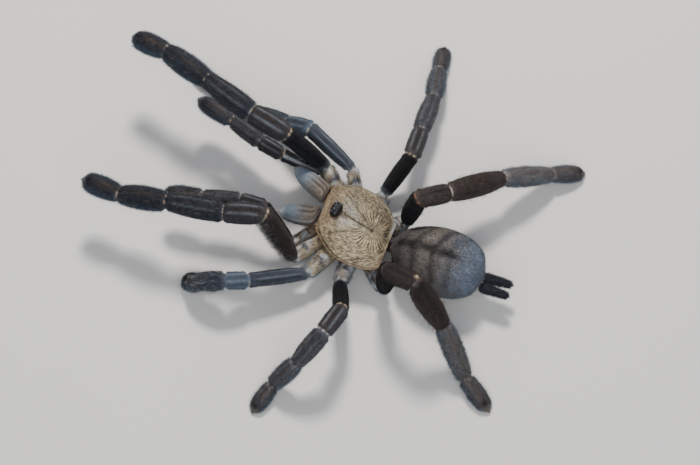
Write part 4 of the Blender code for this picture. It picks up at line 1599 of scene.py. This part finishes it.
HAIR_SHAPES = {
    Hair.VELVET: HairShape(0.115, False, 0.50, 1.45),
    Hair.NAP: HairShape(0.09, False, 0.55, 1.30),
    Hair.BRUSH: HairShape(0.120, False, 0.45, 1.60, 0.30),
    Hair.BRISTLE: HairShape(0.095, True, 0.75, 1.15, 0.35),
    Hair.LONG: HairShape(0.085, True, 0.80, 1.10, 0.35),
}
ROOT_SINK = 0.06                # mm a root stands in the skin
LEAST_LIFT = 6.0                # degrees
LIFT_SPREAD = 0.22
TINT_SPREAD = 0.32
TIP_LIFT = 0.45                 # lift of a curved hair's outer half, as a share of its root's
PATCH = 0.0015                  # half the size of a hair's patch on the unwrap
STRAIGHT_PATCH = np.array(((-1, -1), (1, -1), (0, -0.2), (0, 1))) * PATCH
CURVED_PATCH = np.array(((-1, -1), (1, -1), (0, -0.6), (-0.6, 0.1), (0.6, 0.1), (0, 0.35),
                         (0, 1))) * PATCH
STRAIGHT_FACES = np.array(((0, 1, 3), (1, 2, 3), (2, 0, 3), (0, 2, 1)))
CURVED_FACES = np.array(((0, 1, 4), (0, 4, 3), (1, 2, 5), (1, 5, 4), (2, 0, 3), (2, 3, 5),
                         (3, 4, 6), (4, 5, 6), (5, 3, 6), (0, 2, 1)))


class Coat:
    """Closed three-sided hairs over one or more surfaces, joined into one mesh."""

    def __init__(self, name: str, seed: int) -> None:
        """Start empty, with its own random numbers."""
        self.name = name
        self.random = np.random.default_rng(seed)
        self.points: list = []
        self.tints: list = []
        self.faces: list = []
        self.places: list = []
        self.total = 0
        self.hairs = 0

    def cover(self, surface: Surface, box: tuple) -> None:
        """Grow every pelt of a surface.

        Args:
            surface: the skin the hair stands on.
            box: its rectangle on the unwrap.
        """
        surface.place_on_atlas(box)
        for hair, pelt in surface.pelts.items():
            self.grow(surface, HAIR_SHAPES[hair], pelt)

    def grow(self, surface: Surface, shape: HairShape, pelt: Pelt) -> None:
        """Scatter one kind of hair by area and weight, and add its mesh.

        Args:
            surface: the skin.
            shape: the kind's sizes.
            pelt: where, how long, how lifted and what colour.
        """
        shape_of = surface.points.shape[:2]
        weight = np.broadcast_to(pelt.weight, shape_of)
        cells = (weight[:-1, :-1] + weight[1:, :-1] + weight[:-1, 1:] + weight[1:, 1:]) / 4
        cells = cells * surface.cell_areas()
        count = int(cells.sum())
        if count < 1:
            return
        chosen = self.random.choice(cells.size, count, p=(cells / cells.sum()).ravel())
        row, column = np.divmod(chosen, cells.shape[1])
        u, v = self.random.random(count), self.random.random(count)

        def at(grid: np.ndarray) -> np.ndarray:
            """Value of a grid at every root, between the corners of its cell."""
            value = np.broadcast_to(grid, shape_of + np.shape(grid)[2:])
            a, b = (u[:, None], v[:, None]) if value.ndim == 3 else (u, v)
            first = value[row, column] * (1 - b) + value[row, column + 1] * b
            second = value[row + 1, column] * (1 - b) + value[row + 1, column + 1] * b
            return first * (1 - a) + second * a

        normal = unit(at(surface.normal))
        nap = at(surface.nap)
        nap = unit(nap - normal * np.sum(nap * normal, axis=1)[:, None])
        side = np.cross(normal, nap)
        stray = np.radians(self.random.normal(0.0, pelt.stray, count))[:, None]
        lie = nap * np.cos(stray) + side * np.sin(stray)
        lift = at(pelt.lift) * (1 + self.random.normal(0.0, LIFT_SPREAD, count))
        lift = np.radians(np.maximum(lift, LEAST_LIFT))[:, None]
        length = (at(pelt.length) * (1 - shape.vary * self.random.random(count)))[:, None]
        root = at(surface.points) - normal * ROOT_SINK
        tint = at(surface.tint if pelt.tint is None else pelt.tint)
        tint = tint * np.exp(self.random.normal(0.0, TINT_SPREAD, count))[:, None]
        self.add(shape, root, normal, lie, lift, length, tint, at(surface.atlas))

    def add(self, shape: HairShape, root: np.ndarray, normal: np.ndarray, lie: np.ndarray, lift: np.ndarray,
            length: np.ndarray, tint: np.ndarray, atlas: np.ndarray) -> None:
        """Mesh of the hairs: a four-pointed spike, or a seven-pointed one bent at its middle.

        Args:
            shape: the kind's sizes.
            root: (n, 3) roots.
            normal: skin normals there.
            lie: directions in the skin's plane.
            lift: (n, 1) radians off the skin.
            length: (n, 1) mm.
            tint: (n, 3) colours.
            atlas: (n, 2) places on the unwrap.
        """
        way = lie * np.cos(lift) + normal * np.sin(lift)
        side = unit(np.cross(way, normal))
        out = np.cross(side, way)
        half = shape.width / 2
        wide, deep = side * half, out * half * 1.2
        if shape.curved:
            late = lift * TIP_LIFT
            bent = lie * np.cos(late) + normal * np.sin(late)
            knee = root + way * length * 0.5
            tip = knee + bent * length * 0.5
            corners = (root - wide, root + wide, root - deep, knee - wide * 0.7, knee + wide * 0.7,
                       knee - deep * 0.7, tip)
            shades = (shape.root_shade,) * 3 + (1.0,) * 3 + (shape.tip_shade,)
            faces, patch = CURVED_FACES, CURVED_PATCH
        else:
            tip = root + way * length
            corners = (root - wide, root + wide, root - deep, tip)
            shades = (shape.root_shade,) * 3 + (shape.tip_shade,)
            faces, patch = STRAIGHT_FACES, STRAIGHT_PATCH
        points = np.stack(corners, axis=1)
        points[..., 2] = np.maximum(points[..., 2], HAIR_FLOOR_GAP)
        count = len(points)
        index = (np.arange(count) * len(corners))[:, None, None] + faces[None] + self.total
        self.points.append(points.reshape(-1, 3))
        self.tints.append((tint[:, None] * np.array(shades)[None, :, None]).reshape(-1, 3))
        self.faces.append(index.reshape(-1, 3))
        self.places.append((atlas[:, None, None] + patch[faces][None]).reshape(-1, 2))
        self.total += count * len(corners)
        self.hairs += count

    def build(self, material: bpy.types.Material) -> bpy.types.Object:
        """Join the hairs into one piece, with its map and tint."""
        piece = mesh_piece(self.name, np.concatenate(self.points), [np.concatenate(self.faces)], material)
        write_map(piece, "OFBake", np.clip(np.concatenate(self.places), 0.0, 1.0))
        write_tint(piece, np.concatenate(self.tints))
        return piece


# --- finishes -------------------------------------------------------------------------


class Signal:
    """A node's output that carries a number; arithmetic on it adds Math nodes."""

    def __init__(self, graph: "Graph", socket: bpy.types.NodeSocket) -> None:
        """Keep the graph and the socket."""
        self.graph = graph
        self.socket = socket

    def math(self, operation: str, first: "Signal | float", second: "Signal | float") -> "Signal":
        """One Math node."""
        return self.graph.node("ShaderNodeMath", {"operation": operation}, {0: first, 1: second})

    def __add__(self, other: "Signal | float") -> "Signal":
        """Sum."""
        return self.math("ADD", self, other)

    def __radd__(self, other: float) -> "Signal":
        """Sum, with the number first."""
        return self.math("ADD", other, self)

    def __mul__(self, other: "Signal | float") -> "Signal":
        """Product."""
        return self.math("MULTIPLY", self, other)

    def __rmul__(self, other: float) -> "Signal":
        """Product, with the number first."""
        return self.math("MULTIPLY", other, self)


class Graph:
    """A material under construction."""

    def __init__(self, name: str) -> None:
        """Start with an empty node tree."""
        self.material = bpy.data.materials.new(name)
        self.material.use_nodes = True
        self.tree = self.material.node_tree
        self.tree.nodes.clear()

    def node(self, kind: str, settings: dict | None = None, inputs: dict | None = None,
             output: int | str = 0) -> Signal:
        """Add one node.

        Args:
            kind: the node's type.
            settings: properties, set before the sockets.
            inputs: values or signals by socket name or number.
            output: which output to hand back.

        Returns:
            That output.
        """
        made = self.tree.nodes.new(kind)
        for key, value in (settings or {}).items():
            setattr(made, key, value)
        for key, value in (inputs or {}).items():
            if isinstance(value, Signal):
                self.tree.links.new(value.socket, made.inputs[key])
            else:
                made.inputs[key].default_value = value
        return Signal(self, made.outputs[output])

    def noise(self, place: Signal, scale: float, detail: float = 3.0, rough: float = 0.55) -> Signal:
        """Noise of about 0 to 1 at a place."""
        return self.node("ShaderNodeTexNoise", None,
                         {"Vector": place, "Scale": scale, "Detail": detail, "Roughness": rough})

    def stretch(self, place: Signal, scale: tuple) -> Signal:
        """A place scaled by a different amount along each axis."""
        return self.node("ShaderNodeVectorMath", {"operation": "MULTIPLY"}, {0: place, 1: scale})

    def darken(self, colour: Signal, share: Signal) -> Signal:
        """A colour times a grey of the given strength."""
        grey = self.node("ShaderNodeCombineColor", None, {"Red": share, "Green": share, "Blue": share})
        return self.node("ShaderNodeMix", {"data_type": "RGBA", "blend_type": "MULTIPLY"},
                         {"Factor": 1.0, "A": colour, "B": grey}, "Result")

    def bump(self, height: Signal, strength: float, distance: float) -> Signal:
        """Normal of a height map."""
        return self.node("ShaderNodeBump", None,
                         {"Height": height, "Strength": strength, "Distance": distance})

    def finish(self, inputs: dict) -> bpy.types.Material:
        """Close the graph with one Principled shader.

        Args:
            inputs: its sockets' values and signals.

        Returns:
            The material.
        """
        shader = self.node("ShaderNodeBsdfPrincipled", None, inputs, "BSDF")
        end = self.tree.nodes.new("ShaderNodeOutputMaterial")
        self.tree.links.new(shader.socket, end.inputs["Surface"])
        return self.material


@dataclass(frozen=True)
class Finish:
    """One finish: the piece's own tint, broken up by noise, with its grain and gloss."""

    name: str
    roughness: float
    spread: float = 0.10        # how far noise moves the roughness
    specular: float = 0.5
    sheen: float = 0.0
    sheen_rough: float = 0.5
    coat: float = 0.0
    grain: float = 900.0        # noise cells in a metre
    depth: float = 0.00006      # m of bump
    strength: float = 0.5
    contrast: float = 0.35
    streaks: tuple | None = None        # stretch of the mm map, where the piece has one

    def make(self) -> bpy.types.Material:
        """Build the material."""
        graph = Graph(self.name)
        tint = graph.node("ShaderNodeAttribute", {"attribute_name": "tint"}, None, "Color")
        place = graph.node("ShaderNodeTexCoord", None, None, "Object")
        grain = graph.noise(place, self.grain)
        shade = (1 - self.contrast * 0.5) + self.contrast * grain
        height = grain
        if self.streaks:
            lie = graph.node("ShaderNodeUVMap", {"uv_map": "lie"})
            streak = graph.noise(graph.stretch(lie, self.streaks), 1.0, 2.0)
            shade = shade * (0.55 + 0.9 * streak)
            height = height * 0.35 + streak
        colour = graph.darken(tint, shade)
        return graph.finish({
            "Base Color": colour,
            "Roughness": (self.roughness - self.spread * 0.5) + self.spread * grain,
            "Normal": graph.bump(height, self.strength, self.depth),
            "Specular IOR Level": self.specular,
            "Sheen Weight": self.sheen,
            "Sheen Roughness": self.sheen_rough,
            "Coat Weight": self.coat,
            "Coat Roughness": 0.06,
        })


SKIN = Finish("skin_with_short_hair", 0.68, 0.16, 0.20, 0.05, streaks=(9.0, 60.0, 1.0), depth=0.00012)
SHIELD = Finish("shield_plate", 0.58, 0.20, 0.28, 0.05, grain=2600.0, depth=0.00005)
HAIR = Finish("hair", 0.55, 0.10, 0.22, 0.03, grain=1500.0, depth=0.00002, contrast=0.25)
EYE = Finish("eye_lens", 0.08, 0.05, 0.6, coat=1.0, grain=700.0, depth=0.000005, strength=0.1, contrast=0.2)
HORN = Finish("horn", 0.28, 0.18, 0.5, coat=0.4, grain=3000.0, depth=0.00002, contrast=0.3)


# --- studio ---------------------------------------------------------------------------


@dataclass
class Studio:
    """Pale floor, soft light and the camera."""

    target: np.ndarray          # mm, what the camera is framed on
    centre: np.ndarray          # mm, middle of the animal
    reach: float = 1.6          # m, half the floor's width
    floor_drop: float = 0.0001  # m it lies below the feet
    floor_tones: tuple = ((0.74, 0.72, 0.69, 1.0), (0.80, 0.78, 0.75, 1.0))
    # name, place in m, width in m, watts, colour: a key from ahead on the right and a broad fill
    lamps: tuple = (("key", (-0.34, -0.20, 0.62), 0.12, 5.8, (1.0, 0.97, 0.93)),
                    ("fill", (0.45, 0.30, 0.70), 0.8, 4.8, (0.93, 0.96, 1.0)))
    sky_colour: tuple = (0.86, 0.90, 1.0, 1.0)
    sky_strength: float = 0.28
    # the camera looks down from behind the animal's right side: azimuth 120, elevation 68 degrees
    back: tuple = (0.3244, 0.1873, 0.9272)
    right: tuple = (-0.5, 0.8660, 0.0)
    distance: float = 552.0     # mm from the target
    shift: tuple = (6.33, 0.51)         # mm the camera stands left of and below the line to the target
    lens: float = 100.0
    sensor: float = 36.0

    def floor(self) -> bpy.types.Object:
        """A wide, flat, pale floor."""
        x, y = np.meshgrid(*[np.linspace(-self.reach, self.reach, 9)] * 2)
        points = np.column_stack((x.ravel(), y.ravel(), np.zeros(x.size))) / MM
        faces = quads(np.arange(x.size).reshape(x.shape))
        graph = Graph("pale_floor")
        cloud = graph.noise(graph.node("ShaderNodeTexCoord", None, None, "Object"), 9.0)
        dark, light = self.floor_tones
        tone = graph.node("ShaderNodeMix", {"data_type": "RGBA"},
                          {"Factor": cloud, "A": dark, "B": light}, "Result")
        pale = graph.finish({"Base Color": tone, "Roughness": 0.85})
        floor = mesh_piece("studio_floor", points, [faces], pale)
        floor.location.z = -self.floor_drop
        return floor

    def light(self, name: str, place: tuple, size: float, watts: float, colour: tuple) -> None:
        """One square soft light aimed at the animal."""
        lamp = bpy.data.lights.new(name, "AREA")
        lamp.size = size
        lamp.energy = watts
        lamp.color = colour
        held = bpy.data.objects.new(name, lamp)
        held.location = place
        aim = Vector(self.centre * MM) - Vector(place)
        held.rotation_euler = aim.to_track_quat("-Z", "Y").to_euler()
        bpy.context.scene.collection.objects.link(held)

    def lights(self) -> None:
        """The lamps and a dim sky."""
        for lamp in self.lamps:
            self.light(*lamp)
        world = bpy.data.worlds.new("sky")
        world.use_nodes = True
        sky = world.node_tree.nodes["Background"]
        sky.inputs["Color"].default_value = self.sky_colour
        sky.inputs["Strength"].default_value = self.sky_strength
        bpy.context.scene.world = world

    def camera(self) -> None:
        """The camera, at its distance from the target along `back`."""
        back, right = np.array(self.back), np.array(self.right)
        up = np.cross(back, right)
        place = self.target + back * self.distance - right * self.shift[0] - up * self.shift[1]
        lens = bpy.data.cameras.new("camera")
        lens.lens = self.lens
        lens.sensor_width = self.sensor
        lens.clip_start = 0.01
        lens.clip_end = 20.0
        held = bpy.data.objects.new("camera", lens)
        turn = Matrix([right, up, back]).transposed()
        held.matrix_world = Matrix.Translation(Vector(place * MM)) @ turn.to_4x4()
        bpy.context.scene.collection.objects.link(held)
        bpy.context.scene.camera = held


# --- the animal -----------------------------------------------------------------------


LIMB_KINDS = ("leg_1", "leg_2", "leg_3", "leg_4", "palp")
LIMB_NAMES = tuple(f"{kind}_{hand}" for kind in LIMB_KINDS for hand in HANDS)
HARD_NODES = ("carapace", "ocular_tubercle", "fang_left", "fang_right")
WHOLE = (0.02, 0.02, 0.98, 0.98)
LEG_SLOTS = ("black_velvet", "charcoal_hair", "black_velvet", "charcoal_hair")
# each coat piece: name, seed of its random numbers, slot, and where each surface lies on its unwrap
COATS = (
    *((f"coat_{name}", 100 + i, LEG_SLOTS[i // 2], {name: WHOLE}) for i, name in enumerate(LIMB_NAMES[:8])),
    ("coat_palps_and_jaws", 201, "slate_hair", {
        "palp_left": (0.02, 0.02, 0.98, 0.32), "palp_right": (0.02, 0.34, 0.98, 0.64),
        "jaw_left": (0.02, 0.66, 0.98, 0.81), "jaw_right": (0.02, 0.83, 0.98, 0.98)}),
    ("coat_hind_body", 202, "grey_brown_velvet", {
        "abdomen": (0.02, 0.02, 0.98, 0.72), "waist": (0.02, 0.74, 0.30, 0.98),
        "spinneret_left": (0.34, 0.74, 0.98, 0.85), "spinneret_right": (0.34, 0.87, 0.98, 0.98)}),
    ("coat_front_body", 203, "tan_hair", {
        "shield": (0.02, 0.02, 0.98, 0.60), "eye_mound": (0.02, 0.62, 0.98, 0.70),
        "trunk": (0.02, 0.72, 0.98, 0.98)}),
)


def triangles(piece: bpy.types.Object) -> int:
    """Triangles of a piece."""
    sizes = np.zeros(len(piece.data.polygons), np.int32)
    piece.data.polygons.foreach_get("loop_total", sizes)
    return int((sizes - 2).sum())


def settle(piece: bpy.types.Object, nodes: tuple = ()) -> None:
    """Put a piece on the body and the nodes it stands for, and report it."""
    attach(piece, BODY)
    if nodes:
        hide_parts(*nodes)
    LOG.info("%s: %d triangles", piece.name, triangles(piece))


def joined(name: str, surfaces: list, material: bpy.types.Material) -> bpy.types.Object:
    """One closed piece of several surfaces."""
    shell = Shell()
    for surface in surfaces:
        shell.add(surface)
    return shell.build(name, material)


def main() -> None:
    """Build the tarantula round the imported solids, then the studio."""
    logging.basicConfig(level=logging.INFO, format="%(message)s")
    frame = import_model()
    packed = [list(corner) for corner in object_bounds()]

    # flesh: one skin for the trunk, hind body, jaws and all limbs
    limbs = [Limb(name, frame) for name in LIMB_NAMES]
    flesh = [limb.surface() for limb in limbs]
    flesh += [Trunk(frame).surface(), *Jaws(frame).surfaces(), *HindBody(frame).surfaces()]
    replaced = tuple(n for n in sorted(frame["nodes"]) if n not in HARD_NODES)
    settle(joined("skin", flesh, SKIN.make()), replaced)

    # plates, eyes and horn
    plated, horn = SHIELD.make(), HORN.make()
    shield, eyes = (kind(*(np.array(c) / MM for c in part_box(node)))
                    for kind, node in ((Shield, "carapace"), (Eyes, "ocular_tubercle")))
    top, mound = shield.surface(), eyes.mound()
    settle(joined("shield", [top], plated), ("carapace",))
    settle(joined("eye_mound", [mound], plated), ("ocular_tubercle",))
    settle(joined("eyes", eyes.balls(), EYE.make()))
    fangs = [fang(Solid(frame["nodes"][f"fang_{hand}"])) for hand in HANDS]
    settle(joined("fangs", fangs, horn), ("fang_left", "fang_right"))
    settle(joined("claws", [claw for limb in limbs for claw in claws(limb)], horn))

    # the coat
    hair = HAIR.make()
    surfaces = {surface.name: surface for surface in (*flesh, top, mound)}
    for name, seed, slot, regions in COATS:
        coat = Coat(name, seed)
        for region, box in regions.items():
            coat.cover(surfaces[region], box)
        settle(coat.build(hair))
        LOG.info("%s: %d hairs", coat.name, coat.hairs)

    # studio
    low, high = (np.array(c) / MM for c in packed)
    target = np.array((*shield.pit, shield.low[2] + 2.8))
    studio = Studio(target, (low + high) / 2)
    studio.floor()
    studio.lights()
    studio.camera()


if __name__ == "__main__":
    main()
